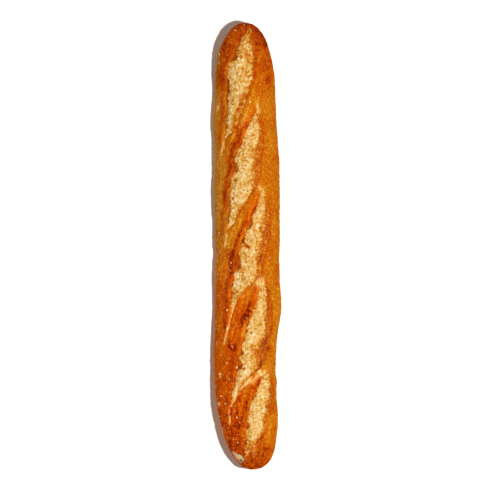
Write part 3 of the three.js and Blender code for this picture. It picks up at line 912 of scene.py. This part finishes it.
def weighted(tree, start, terms):
    """Adds (value - middle) times weight to the start, for each (value, middle, weight)."""
    total = start
    for value, middle, weight in terms:
        centred = add_node(tree, "ShaderNodeMath", {0: value, 1: middle}, operation="SUBTRACT")
        total = add_node(tree, "ShaderNodeMath", {0: centred, 1: weight, 2: total}, operation="MULTIPLY_ADD")
    return total


print("middle grey as linear light:", round(linear("#808080")[0], 3))


# %% Geometry trees, from their inputs to a plain mesh
def geometry_tree(name, sizes):
    """A geometry tree with named sizes and a material as inputs, and the sockets that give them."""
    tree = bpy.data.node_groups.new(name, "GeometryNodeTree")
    tree.interface.new_socket("Geometry", in_out="INPUT", socket_type="NodeSocketGeometry")
    for size in sizes:
        tree.interface.new_socket(size, in_out="INPUT", socket_type="NodeSocketFloat")
    tree.interface.new_socket("Material", in_out="INPUT", socket_type="NodeSocketMaterial")
    tree.interface.new_socket("Geometry", in_out="OUTPUT", socket_type="NodeSocketGeometry")
    return tree, add_node(tree, "NodeGroupInput", output=None).outputs


def end_tree(tree, geometry, material):
    """Ends a geometry tree in plain meshes of one material."""
    realized = add_node(tree, "GeometryNodeRealizeInstances", {"Geometry": geometry})
    coated = add_node(tree, "GeometryNodeSetMaterial", {"Geometry": realized, "Material": material})
    add_node(tree, "NodeGroupOutput", {0: coated}, None)
    return tree


def run_tree(piece, tree, values):
    """Runs the tree on the piece with these inputs and keeps the mesh that comes out."""
    modifier = piece.modifiers.new(tree.name, "NODES")
    modifier.node_group = tree
    for item in tree.interface.items_tree:
        if item.in_out == "INPUT" and item.name in values:
            modifier[item.identifier] = values[item.name]
    graph = bpy.context.evaluated_depsgraph_get()
    seen = piece.evaluated_get(graph)
    mesh = bpy.data.meshes.new_from_object(seen, preserve_all_data_layers=True, depsgraph=graph)
    piece.modifiers.remove(modifier)
    piece.data = mesh
    mesh.name = piece.name
    # a ball made by a node starts with an empty slot, so the one material is given to the mesh again
    mesh.materials.clear()
    mesh.materials.append(values["Material"])
    triangles = sum(len(p.vertices) - 2 for p in mesh.polygons)
    print(f"{piece.name} after {tree.name}: {triangles} triangles of {mesh.materials[0].name}")


print("node groups before the first is built:", len(bpy.data.node_groups))

# %% [markdown]
# ## The baked crust's finish
# Crust is a dry skin of starch and sugars that browned in the heat, from gold over orange-brown to
# mahogany. How far each place went is a number in the mesh, with painted light and shade added in places,
# and the shader adds uneven noise to it and looks up the colour. Paint on an image would do, but noise
# stays sharp at any distance and needs no unwrapping. Coats are laid over that colour: ruddier skin on the
# flushed flank, fibres where the skin was stretched, the torn seam with painted shade in its hole and
# flour from the couche underneath. Steam left the skin satin, but so unevenly that no clear highlight
# shows, so the plain skin has no mirror part. The tight skin of the small blisters does glint, and a few
# of them are painted pale as painted glints.

# %% Colours and grain of the crust
GOLDEN = [
    (0.0, "#DC9A34"), (0.20, "#C27814"), (0.38, "#B56208"), (0.54, "#B04A05"), (0.70, "#983405"),
    (0.86, "#682005"), (1.0, "#3C1204"),
]
RUDDY = [
    (0.0, "#EAA23C"), (0.20, "#DA7C14"), (0.38, "#CC6006"), (0.54, "#BE4C04"), (0.70, "#A23404"),
    (0.86, "#6A1C04"), (1.0, "#380E03"),
]
STRETCHED_FIBRES = [(0.36, "#D68E3A"), (0.5, "#E8B962"), (0.64, "#F6DC9C")]
# the pale torn seam, going dark as painted shade in its hole
TORN_SEAM_AND_SHADE = [(0.5, "#CDB68A"), (0.9, "#5A3818")]
FLOUR = "#CDB489"
PAINTED_GLINT_COLOUR = "#F7D08C"
SHINE_TINT = "#FFC890"
# each grain: what it is read from, its size in millimetres, detail and roughness. Real pores and fibres
# are finer than these, which are as coarse as they need to be to show
CRUST_GRAINS = {
    "clouds": ("place", 20.0, 3.0, 0.5), "patches": ("place", 7.0, 3.0, 0.6),
    "mottle": ("place", 3.4, 4.0, 0.66), "flecks": ("place", 2.6, 1.0, 0.5),
    "speckle": ("place", 1.5, 2.0, 0.5), "pores": ("place", 1.1, 3.0, 0.5),
    "flour": ("place", 4.0, 4.0, 0.7), "ropes": ("rope", 3.6, 2.0, 0.5),
    "fibres": ("rope", 0.7, 2.0, 0.5), "crinkles": ("crinkle", 1.7, 2.0, 0.5),
}
CRUST_LAYERS = ("bake", "flushed", "strap", "crinkled", "blister", "pale", "tear", "base", "chance")
# the middle value of every noise
HALF = 0.5
# each noise that makes the bake uneven, and how strongly
CRUST_UNEVEN = {"clouds": 0.5, "mottle": 0.9, "speckle": 0.6}
PALE_UNEVEN = {"mottle": 1.2, "fibres": 1.6}
CRINKLE_UNEVEN = 0.5
PATCH_UNEVEN = 0.4
BLISTER_PALER = 0.15
# where on its noise a pale fleck begins and is full
FLECK = {"From Min": 0.54, "From Max": 0.70}
FLECK_PALER = 0.20
TORN = {"From Min": 0.0, "From Max": 0.5}
# from which chance on a blister it is painted pale as a painted glint
PAINTED_GLINT_CHANCES = {"From Min": 0.72, "From Max": 0.95}
# the pores' depth is in millimetres
CRUST_PORES = {"deep": 0.6, "strength": 0.8}
print(len(CRUST_GRAINS), "grains over", len(CRUST_LAYERS), "stored numbers")


# %% Baked crust
def baked_crust(name, roughness, specular):
    material, tree = new_material(name)
    # the two stretched patterns are stored in millimetres, and the place of a point is in metres
    spaces = {"place": (add_node(tree, "ShaderNodeTexCoord", output="Object"), MM)}
    for space in ("rope", "crinkle"):
        spaces[space] = (add_node(tree, "ShaderNodeAttribute", output="Vector", attribute_name=space), 1.0)
    grain = {}
    for pattern, (space, size, detail, rough) in CRUST_GRAINS.items():
        vector, unit_size = spaces[space]
        grain[pattern] = add_node(tree, "ShaderNodeTexNoise", {
            "Vector": vector, "Scale": 1 / (size * unit_size), "Detail": detail, "Roughness": rough,
        })
    layer = {}
    for stored in CRUST_LAYERS:
        layer[stored] = add_node(tree, "ShaderNodeAttribute", output="Fac", attribute_name=stored)

    # how far each point is baked, with its painted light and shade: the stored number, made uneven at
    # several sizes
    crinkled = add_node(tree, "ShaderNodeMath", {
        0: layer["crinkled"], 1: CRINKLE_UNEVEN,
    }, operation="MULTIPLY")
    patchy = add_node(tree, "ShaderNodeMath", {
        0: layer["flushed"], 1: PATCH_UNEVEN,
    }, operation="MULTIPLY")
    flecks = add_node(tree, "ShaderNodeMapRange", {
        "Value": grain["flecks"], **FLECK,
    }, interpolation_type="SMOOTHSTEP")
    bake = weighted(tree, layer["bake"], [
        *[(grain[pattern], HALF, weight) for pattern, weight in CRUST_UNEVEN.items()],
        (grain["ropes"], HALF, layer["strap"]), (layer["blister"], 0.0, -BLISTER_PALER),
        (flecks, 0.0, -FLECK_PALER), (grain["crinkles"], HALF, crinkled), (grain["patches"], HALF, patchy),
    ])

    # how much of each coat covers it, and the coats
    uneven = weighted(tree, layer["pale"], [
        (grain[pattern], HALF, weight) for pattern, weight in PALE_UNEVEN.items()
    ])
    pale = add_node(tree, "ShaderNodeMath", {
        0: uneven, 1: layer["pale"],
    }, operation="MULTIPLY", use_clamp=True)
    torn = add_node(tree, "ShaderNodeMapRange", {"Value": layer["tear"], **TORN})
    dusted = add_node(tree, "ShaderNodeMath", {0: grain["flour"], 1: layer["base"]}, operation="MULTIPLY")
    thin = add_node(tree, "ShaderNodeMapRange", {"Value": layer["chance"], **PAINTED_GLINT_CHANCES})
    coats = [
        (layer["flushed"], add_node(tree, "ShaderNodeValToRGB", {"Fac": bake}, stops=RUDDY)),
        (pale, add_node(tree, "ShaderNodeValToRGB", {"Fac": grain["fibres"]}, stops=STRETCHED_FIBRES)),
        (torn, add_node(tree, "ShaderNodeValToRGB", {"Fac": layer["tear"]}, stops=TORN_SEAM_AND_SHADE)),
        (dusted, linear(FLOUR)),
        # painted highlight: a few blisters, chosen by their chance, are painted pale as glints
        (thin, linear(PAINTED_GLINT_COLOUR)),
    ]
    colour = add_node(tree, "ShaderNodeValToRGB", {"Fac": bake}, stops=GOLDEN)
    for share, coat in coats:
        colour = add_node(tree, "ShaderNodeMix", {0: share, 6: colour, 7: coat}, 2, data_type="RGBA")
    bump = add_node(tree, "ShaderNodeBump", {
        "Height": grain["pores"], "Distance": CRUST_PORES["deep"] * MM, "Strength": CRUST_PORES["strength"],
    })
    shader = add_node(tree, "ShaderNodeBsdfPrincipled", {
        "Base Color": colour, "Normal": bump, "Roughness": roughness,
        "Specular IOR Level": specular, "Specular Tint": linear(SHINE_TINT),
    })
    add_node(tree, "ShaderNodeOutputMaterial", {"Surface": shader}, None)
    print(name, "has", len(tree.nodes), "nodes")
    return material


# dry browned skin: gold to mahogany, satin, and so uneven that the eye sees no highlight on it
crust_material = baked_crust("baked_crust", roughness=0.5, specular=0.0)
# skin blown tight and thin by steam: the same browns with small soft glints, and a painted glint on a few
blister_material = baked_crust("blistered_crust", roughness=0.22, specular=0.55)

# %% [markdown]
# ## The torn crumb's finish
# Crumb that tore open in the oven dried to a matt, craggy net, cream where it tore late and toasted where
# it faced the heat first. Its colour comes from the same idea as the crust's: a stored number, noises of a
# few sizes, curds made paler with painted light, and pores and pits made darker with painted shade. At a
# leaf's tail it was drawn out into golden strands along the loaf.

# %% Torn crumb
CREAM_TO_TOAST = [
    (0.0, "#E9D4A6"), (0.18, "#DBB36B"), (0.36, "#CC983E"), (0.56, "#BF6C0F"), (0.78, "#AE5006"),
    (1.0, "#8A3406"),
]
GOLDEN_STRANDS = [(0.34, "#C9731C"), (0.5, "#E9AE4C"), (0.64, "#F6D58A")]
# all crumb is this much more toasted than its stored number
CRUMB_TONE = 0.19
# the golden strands are stretched along the loaf, and their width is in millimetres
STRAND_STRETCH = (0.16, 1.0, 1.0)
STRAND_WIDTH = 0.9
CRUMB_PORES = {"deep": 0.9, "strength": 1.0}
CRUMB_UNEVEN = {"stains": 0.8, "curdling": 1.2, "flakes": 0.95}
CURD_PAINTED_LIGHT = 0.22
PORE_PAINTED_SHADE = 0.45
PIT_PAINTED_SHADE = 0.5
# each grain: its size in millimetres, detail and roughness. Real pores are finer than these
CRUMB_GRAINS = {
    "stains": (9.0, 3.0, 0.5), "curdling": (3.0, 4.0, 0.66), "flakes": (1.2, 2.0, 0.5),
    "pores": (1.1, 3.0, 0.5),
}


def torn_crumb():
    material, tree = new_material("torn_crumb")
    leaf = add_node(tree, "ShaderNodeAttribute", output="Vector", attribute_name="leaf")
    layer, grain = {}, {}
    for stored in ("toast", "curd", "pore", "pit", "golden"):
        layer[stored] = add_node(tree, "ShaderNodeAttribute", output="Fac", attribute_name=stored)
    for pattern, (size, detail, rough) in CRUMB_GRAINS.items():
        grain[pattern] = add_node(tree, "ShaderNodeTexNoise", {
            "Vector": leaf, "Scale": 1 / size, "Detail": detail, "Roughness": rough,
        })
    # painted light on the raised curds, and painted shade in the sunken pores and pits
    tone = weighted(tree, layer["toast"], [
        *[(grain[pattern], HALF, weight) for pattern, weight in CRUMB_UNEVEN.items()],
        (layer["curd"], HALF, -CURD_PAINTED_LIGHT), (layer["pore"], 0.0, PORE_PAINTED_SHADE),
        (layer["pit"], 0.0, PIT_PAINTED_SHADE),
    ])
    tone = add_node(tree, "ShaderNodeMath", {0: tone, 1: CRUMB_TONE}, operation="ADD")
    pulled = add_node(tree, "ShaderNodeVectorMath", {0: leaf, 1: STRAND_STRETCH}, operation="MULTIPLY")
    strands = add_node(tree, "ShaderNodeTexNoise", {
        "Vector": pulled, "Scale": 1 / STRAND_WIDTH, "Detail": 2.0,
    })
    colour = add_node(tree, "ShaderNodeMix", {
        0: layer["golden"],
        6: add_node(tree, "ShaderNodeValToRGB", {"Fac": tone}, stops=CREAM_TO_TOAST),
        7: add_node(tree, "ShaderNodeValToRGB", {"Fac": strands}, stops=GOLDEN_STRANDS),
    }, 2, data_type="RGBA")
    bump = add_node(tree, "ShaderNodeBump", {
        "Height": grain["pores"], "Distance": CRUMB_PORES["deep"] * MM, "Strength": CRUMB_PORES["strength"],
    })
    shader = add_node(tree, "ShaderNodeBsdfPrincipled", {
        "Base Color": colour, "Normal": bump, "Roughness": 0.85, "Specular IOR Level": 0.1,
    })
    add_node(tree, "ShaderNodeOutputMaterial", {"Surface": shader}, None)
    print(material.name, "has", len(tree.nodes), "nodes")
    return material


# crumb that tore and dried: matt, craggy, cream with toasted places, painted shade in its pores and painted
# light on its curds
crumb_material = torn_crumb()

# %% [markdown]
# ## Relief of crust and crumb
# A baked skin has soft dents from the baker's hands, blisters, and stretched ropes on the straps between
# cuts. Torn crumb has curds, strands and pores. Both could be sculpted, but noise follows such a surface
# well, so a geometry tree moves every point along its normal, and stores part of the relief for the
# material to read.


# %% Move points along their normals by a relief
RELIEF_MASK = "relief"


def end_relief(tree, given, total, stored):
    """Moves each point by the total times its mask, and stores values for the material."""
    mask = add_node(tree, "GeometryNodeInputNamedAttribute", {"Name": RELIEF_MASK}, data_type="FLOAT")
    masked = add_node(tree, "ShaderNodeMath", {0: total, 1: mask}, operation="MULTIPLY")
    in_metres = add_node(tree, "ShaderNodeMath", {0: masked, 1: MM}, operation="MULTIPLY")
    normal = add_node(tree, "GeometryNodeInputNormal")
    offset = add_node(tree, "ShaderNodeVectorMath", {0: normal, "Scale": in_metres}, operation="SCALE")
    shape = add_node(tree, "GeometryNodeSetPosition", {"Geometry": given["Geometry"], "Offset": offset})
    for name, value in stored.items():
        shape = add_node(tree, "GeometryNodeStoreNamedAttribute", {
            "Geometry": shape, "Name": name, "Value": value,
        }, data_type="FLOAT", domain="POINT")
    return end_tree(tree, shape, given["Material"])


print("the stored number that masks both reliefs:", RELIEF_MASK)

# %% The crust's relief, sizes in millimetres
# each noise: what it is read from, its size and its detail
CRUST_RELIEFS = {
    "dents": ("place", 18.0, 2.0), "grain": ("place", 3.2, 3.0), "patches": ("place", 30.0, 1.0),
    "ropes": ("rope", 3.6, 2.0), "crinkles": ("crinkle", 1.7, 2.0),
}
BUBBLE_APART = 4.2
# how far from its middle a bubble begins and stands full, as shares of the distance between bubbles
BUBBLE = {"From Min": 0.45, "From Max": 0.05}
# the slow patches keep bubbles low in some places and let them stand full in others
BUBBLED = {"From Min": 0.5, "From Max": 0.66, "To Min": 0.4, "To Max": 1.0}


def crust_relief_tree():
    tree, given = geometry_tree("crust_relief", ["Dent", "Blister", "Grain", "Rope", "Crinkle"])
    place = add_node(tree, "GeometryNodeInputPosition")
    layer = {}
    for kind, names in (("FLOAT_VECTOR", ("rope", "crinkle")), ("FLOAT", ("strap", "crinkled"))):
        for name in names:
            layer[name] = add_node(tree, "GeometryNodeInputNamedAttribute", {"Name": name}, data_type=kind)
    # the two stretched patterns are stored in millimetres, and the place of a point is in metres
    spaces = {"place": (place, MM), "rope": (layer["rope"], 1.0), "crinkle": (layer["crinkle"], 1.0)}
    noise = {}
    for name, (space, size, detail) in CRUST_RELIEFS.items():
        vector, unit_size = spaces[space]
        noise[name] = add_node(tree, "ShaderNodeTexNoise", {
            "Vector": vector, "Scale": 1 / (size * unit_size), "Detail": detail,
        })
    bubbles = add_node(tree, "ShaderNodeTexVoronoi", {
        "Vector": place, "Scale": 1 / (BUBBLE_APART * MM),
    }, "Distance", feature="SMOOTH_F1")
    bubble = add_node(tree, "ShaderNodeMapRange", {
        "Value": bubbles, **BUBBLE,
    }, interpolation_type="SMOOTHSTEP")
    where = add_node(tree, "ShaderNodeMapRange", {"Value": noise["patches"], **BUBBLED})
    blister = add_node(tree, "ShaderNodeMath", {0: bubble, 1: where}, operation="MULTIPLY")
    on_strap = add_node(tree, "ShaderNodeMath", {0: layer["strap"], 1: given["Rope"]}, operation="MULTIPLY")
    at_foot = add_node(tree, "ShaderNodeMath", {
        0: layer["crinkled"], 1: given["Crinkle"],
    }, operation="MULTIPLY")
    total = weighted(tree, 0.0, [
        (noise["dents"], HALF, given["Dent"]), (blister, 0.0, given["Blister"]),
        (noise["grain"], HALF, given["Grain"]), (noise["ropes"], HALF, on_strap),
        (noise["crinkles"], HALF, at_foot),
    ])
    return end_relief(tree, given, total, {"blister": blister})


run_tree(crust, crust_relief_tree(), {
    "Dent": 2.2, "Blister": 0.45, "Grain": 1.3, "Rope": 3.0, "Crinkle": 1.0, "Material": crust_material,
})


# %% The crumb's relief, sizes in millimetres
# strands and curds are bent by a noise of this size, by up to this much along and across
BEND = {"size": 3.5, "by": (2.4, 2.4, 0.0)}
LUMP_SIZE = 7.0
STRAND_SIZE = 2.4
CURD_APART = 3.4
PORE_APART = 4.2
# how far from its middle each begins and is full, as shares of the distance between them
PORE = {"From Min": 0.24, "From Max": 0.08}
CURD = {"From Min": 0.65, "From Max": 0.1}


def crumb_relief_tree():
    tree, given = geometry_tree("crumb_relief", ["Lump", "Curd", "Strand", "Pore", "Pit"])
    leaf = add_node(tree, "GeometryNodeInputNamedAttribute", {"Name": "leaf"}, data_type="FLOAT_VECTOR")
    pit = add_node(tree, "GeometryNodeInputNamedAttribute", {"Name": "pit"}, data_type="FLOAT")
    bend = add_node(tree, "ShaderNodeTexNoise", {
        "Vector": leaf, "Scale": 1 / BEND["size"], "Detail": 1.0,
    }, "Color")
    bent = add_node(tree, "ShaderNodeVectorMath", {
        0: bend, 1: BEND["by"], 2: leaf,
    }, operation="MULTIPLY_ADD")
    lumps = add_node(tree, "ShaderNodeTexNoise", {
        "Vector": leaf, "Scale": 1 / LUMP_SIZE, "Detail": 2.0,
    })
    strands = add_node(tree, "ShaderNodeTexNoise", {
        "Vector": bent, "Scale": 1 / STRAND_SIZE, "Detail": 3.0,
    })
    curds = add_node(tree, "ShaderNodeTexVoronoi", {"Vector": bent, "Scale": 1 / CURD_APART}, "Distance")
    pores = add_node(tree, "ShaderNodeTexVoronoi", {"Vector": leaf, "Scale": 1 / PORE_APART}, "Distance")
    pore = add_node(tree, "ShaderNodeMapRange", {"Value": pores, **PORE}, interpolation_type="SMOOTHSTEP")
    curd = add_node(tree, "ShaderNodeMapRange", {"Value": curds, **CURD})
    total = weighted(tree, 0.0, [
        (lumps, HALF, given["Lump"]), (curd, HALF, given["Curd"]), (strands, HALF, given["Strand"]),
        (pore, 0.0, given["Pore"]), (pit, 0.0, given["Pit"]),
    ])
    # curd and pore are stored for the crumb's painted light and painted shade
    return end_relief(tree, given, total, {"curd": curd, "pore": pore})


run_tree(crumb, crumb_relief_tree(), {
    "Lump": 2.0, "Curd": 1.2, "Strand": 1.9, "Pore": -1.0, "Pit": -1.4, "Material": crumb_material,
})

# %% [markdown]
# ## Small things on the surface
# Tiny bubbles of steam blistered the skin, mostly on the low left side. Torn curds stand on the crumb.
# Placed by hand they would take a day. A geometry tree scatters a small ball over a surface by a density
# that the surface carries, flattens it along the normal and turns it. Each ball keeps the surface's own
# numbers, so it takes the colour of the place it sits on, and a number of its own by which a few blisters
# are painted pale as painted glints.


# %% Scatter small balls over a surface
BALL = {"Segments": 8, "Rings": 5, "Radius": 1.0}
# one side of a ball is between these shares of the other
LENGTH_SHARE = (0.35, 1.0)
CHANCE_SEED = 11


def scatter_tree():
    tree, given = geometry_tree("scatter", ["Per square metre", "Smallest", "Largest", "Flatness", "Seed"])
    wanted = add_node(tree, "GeometryNodeInputNamedAttribute", {"Name": "density"}, data_type="FLOAT")
    amount = add_node(tree, "ShaderNodeMath", {
        0: wanted, 1: given["Per square metre"],
    }, operation="MULTIPLY")
    spread = add_node(tree, "GeometryNodeDistributePointsOnFaces", {
        "Mesh": given["Geometry"], "Density": amount, "Seed": given["Seed"],
    }, None, distribute_method="RANDOM").outputs
    width = add_node(tree, "FunctionNodeRandomValue", {
        2: given["Smallest"], 3: given["Largest"], "Seed": given["Seed"],
    }, 1, data_type="FLOAT")
    stretch = add_node(tree, "FunctionNodeRandomValue", {
        2: LENGTH_SHARE[0], 3: LENGTH_SHARE[1],
    }, 1, data_type="FLOAT")
    chance = add_node(tree, "FunctionNodeRandomValue", {
        2: 0.0, 3: 1.0, "Seed": CHANCE_SEED,
    }, 1, data_type="FLOAT")
    turn = add_node(tree, "FunctionNodeRandomValue", {
        0: (0, 0, 0), 1: (0, 0, math.tau),
    }, data_type="FLOAT_VECTOR")
    longer = add_node(tree, "ShaderNodeMath", {0: width, 1: stretch}, operation="MULTIPLY")
    lower = add_node(tree, "ShaderNodeMath", {0: width, 1: given["Flatness"]}, operation="MULTIPLY")
    turned = add_node(tree, "FunctionNodeRotateRotation", {
        0: spread["Rotation"], 1: turn,
    }, rotation_space="LOCAL")
    numbered = add_node(tree, "GeometryNodeStoreNamedAttribute", {
        "Geometry": spread["Points"], "Name": "chance", "Value": chance,
    }, data_type="FLOAT", domain="POINT")
    placed = add_node(tree, "GeometryNodeInstanceOnPoints", {
        "Points": numbered,
        "Instance": add_node(tree, "GeometryNodeMeshUVSphere", BALL),
        "Rotation": turned,
        "Scale": add_node(tree, "ShaderNodeCombineXYZ", {0: width, 1: longer, 2: lower}),
    })
    rounded_off = add_node(tree, "GeometryNodeSetShadeSmooth", {0: placed})
    return end_tree(tree, rounded_off, given["Material"])


scatter = scatter_tree()


def add_scatter(name, surface, stored, values):
    """A new piece of small balls over the surface, thick where its stored numbers are high."""
    density = np.zeros(len(surface.data.vertices), np.float32)
    surface.data.attributes[stored].data.foreach_get("value", density)
    mesh = surface.data.copy()
    mesh.attributes.new("density", "FLOAT", "POINT").data.foreach_set("value", density)
    piece = put_in_scene(name, mesh)
    run_tree(piece, scatter, values)
    return piece


blisters = add_scatter("crust_blisters", crust, "blistering", {
    "Per square metre": 30000.0, "Smallest": 0.3 * MM, "Largest": 1.3 * MM, "Flatness": 0.4, "Seed": 3,
    "Material": blister_material,
})
curds = add_scatter("crumb_curds", crumb, "relief", {
    "Per square metre": 110000.0, "Smallest": 0.3 * MM, "Largest": 1.0 * MM, "Flatness": 0.35, "Seed": 5,
    "Material": crumb_material,
})

# %% [markdown]
# ## Tie the pieces to the part
# Every piece rides on the one body. Crust and crumb stand for the CAD node, and the small things only sit
# on them.

# %% Ride and the replaced node
for piece, slot in ((crust, "crust"), (blisters, "crust"), (crumb, "crumb"), (curds, "crumb")):
    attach(piece, "root")
    print(piece.name, "takes the slot", slot)
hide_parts("loaf")
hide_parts("loaf")

# %% [markdown]
# ## Floor, light and camera
# A loaf is seen best on a plain white table under soft light. One small lamp stands high over the table, a
# little towards the foot and the soft side, and throws a short clean shadow to the left. A dim warm sky
# fills that shadow, and a bright band at the horizon carries the white table on behind the loaf. The
# camera looks straight down through a long lens from far away, which keeps both ends of the loaf at one
# scale.

# %% Floor
FLOOR_HALF = 1.2
TABLE_COLOUR = "#F6F6F6"
TABLE_ROUGHNESS = 0.7
floor_mesh = bpy.data.meshes.new("floor")
corners = [(x * FLOOR_HALF, y * FLOOR_HALF, 0) for x, y in ((-1, -1), (1, -1), (1, 1), (-1, 1))]
floor_mesh.from_pydata(corners, [], [(0, 1, 2, 3)])
floor = put_in_scene("floor", floor_mesh)
# a table of matt white paint: even and nearly white, with a soft shadow and no highlight for the eye
white, white_tree = new_material("white_table")
paint = add_node(white_tree, "ShaderNodeBsdfPrincipled", {
    "Base Color": linear(TABLE_COLOUR), "Roughness": TABLE_ROUGHNESS,
})
add_node(white_tree, "ShaderNodeOutputMaterial", {"Surface": paint}, None)
floor_mesh.materials.append(white)
print("table side, m:", 2 * FLOOR_HALF)

# %% Light
# the lamp's place and radius in metres, and its power in watts
LAMP_PLACE = (-0.118, -0.59, 2.5)
LAMP_RADIUS = 0.06
LAMP_POWER = 275.0
SKY_COLOUR = "#F3E5D3"
SKY_STRENGTH = 0.31
HORIZON_COLOUR = "#FFFDFA"
# the sine of the angle over the horizon at which the bright band has gone
HORIZON_TOP = 0.16
lamp = put_in_scene("lamp", bpy.data.lights.new("lamp", "POINT"))
lamp.data.energy = LAMP_POWER
lamp.data.shadow_soft_size = LAMP_RADIUS
lamp.location = LAMP_PLACE
world = bpy.data.worlds.new("sky")
bpy.context.scene.world = world
world.use_nodes = True
sky_tree = world.node_tree
sky_tree.nodes.clear()
direction = add_node(sky_tree, "ShaderNodeTexCoord", output="Generated")
height = add_node(sky_tree, "ShaderNodeSeparateXYZ", {0: direction}, "Z")
low = add_node(sky_tree, "ShaderNodeMapRange", {
    "Value": height, "From Min": HORIZON_TOP, "From Max": HORIZON_TOP / 2,
})
shown = add_node(sky_tree, "ShaderNodeBackground", {
    "Color": add_node(sky_tree, "ShaderNodeMix", {
        0: low, 6: linear(SKY_COLOUR), 7: linear(HORIZON_COLOUR),
    }, 2, data_type="RGBA"),
    "Strength": add_node(sky_tree, "ShaderNodeMapRange", {
        "Value": low, "To Min": SKY_STRENGTH, "To Max": 1.0,
    }),
})
add_node(sky_tree, "ShaderNodeOutputWorld", {"Surface": shown}, None)
print("lamp's height, m:", LAMP_PLACE[2])

# %% Camera
# in millimetres and pixels, and only the farthest distance in metres
LENS = 200.0
SENSOR = 36.0
IMAGE_SIDE = 490
MM_PER_PIXEL = 1.0727
VIEW_PLANE = 36.0
AIM = (1.32, 2.69)
FARTHEST_SEEN = 20.0
distance = MM_PER_PIXEL * IMAGE_SIDE * LENS / SENSOR
camera = put_in_scene("camera", bpy.data.cameras.new("camera"))
camera.data.lens = LENS
camera.data.sensor_width = SENSOR
camera.data.clip_end = FARTHEST_SEEN
camera.location = (AIM[0] * MM, AIM[1] * MM, (distance + VIEW_PLANE) * MM)
camera.rotation_euler = (0, 0, -math.pi / 2)
bpy.context.scene.camera = camera
bpy.context.scene.view_settings.view_transform = "Standard"
print("camera height, mm:", round(distance + VIEW_PLANE))
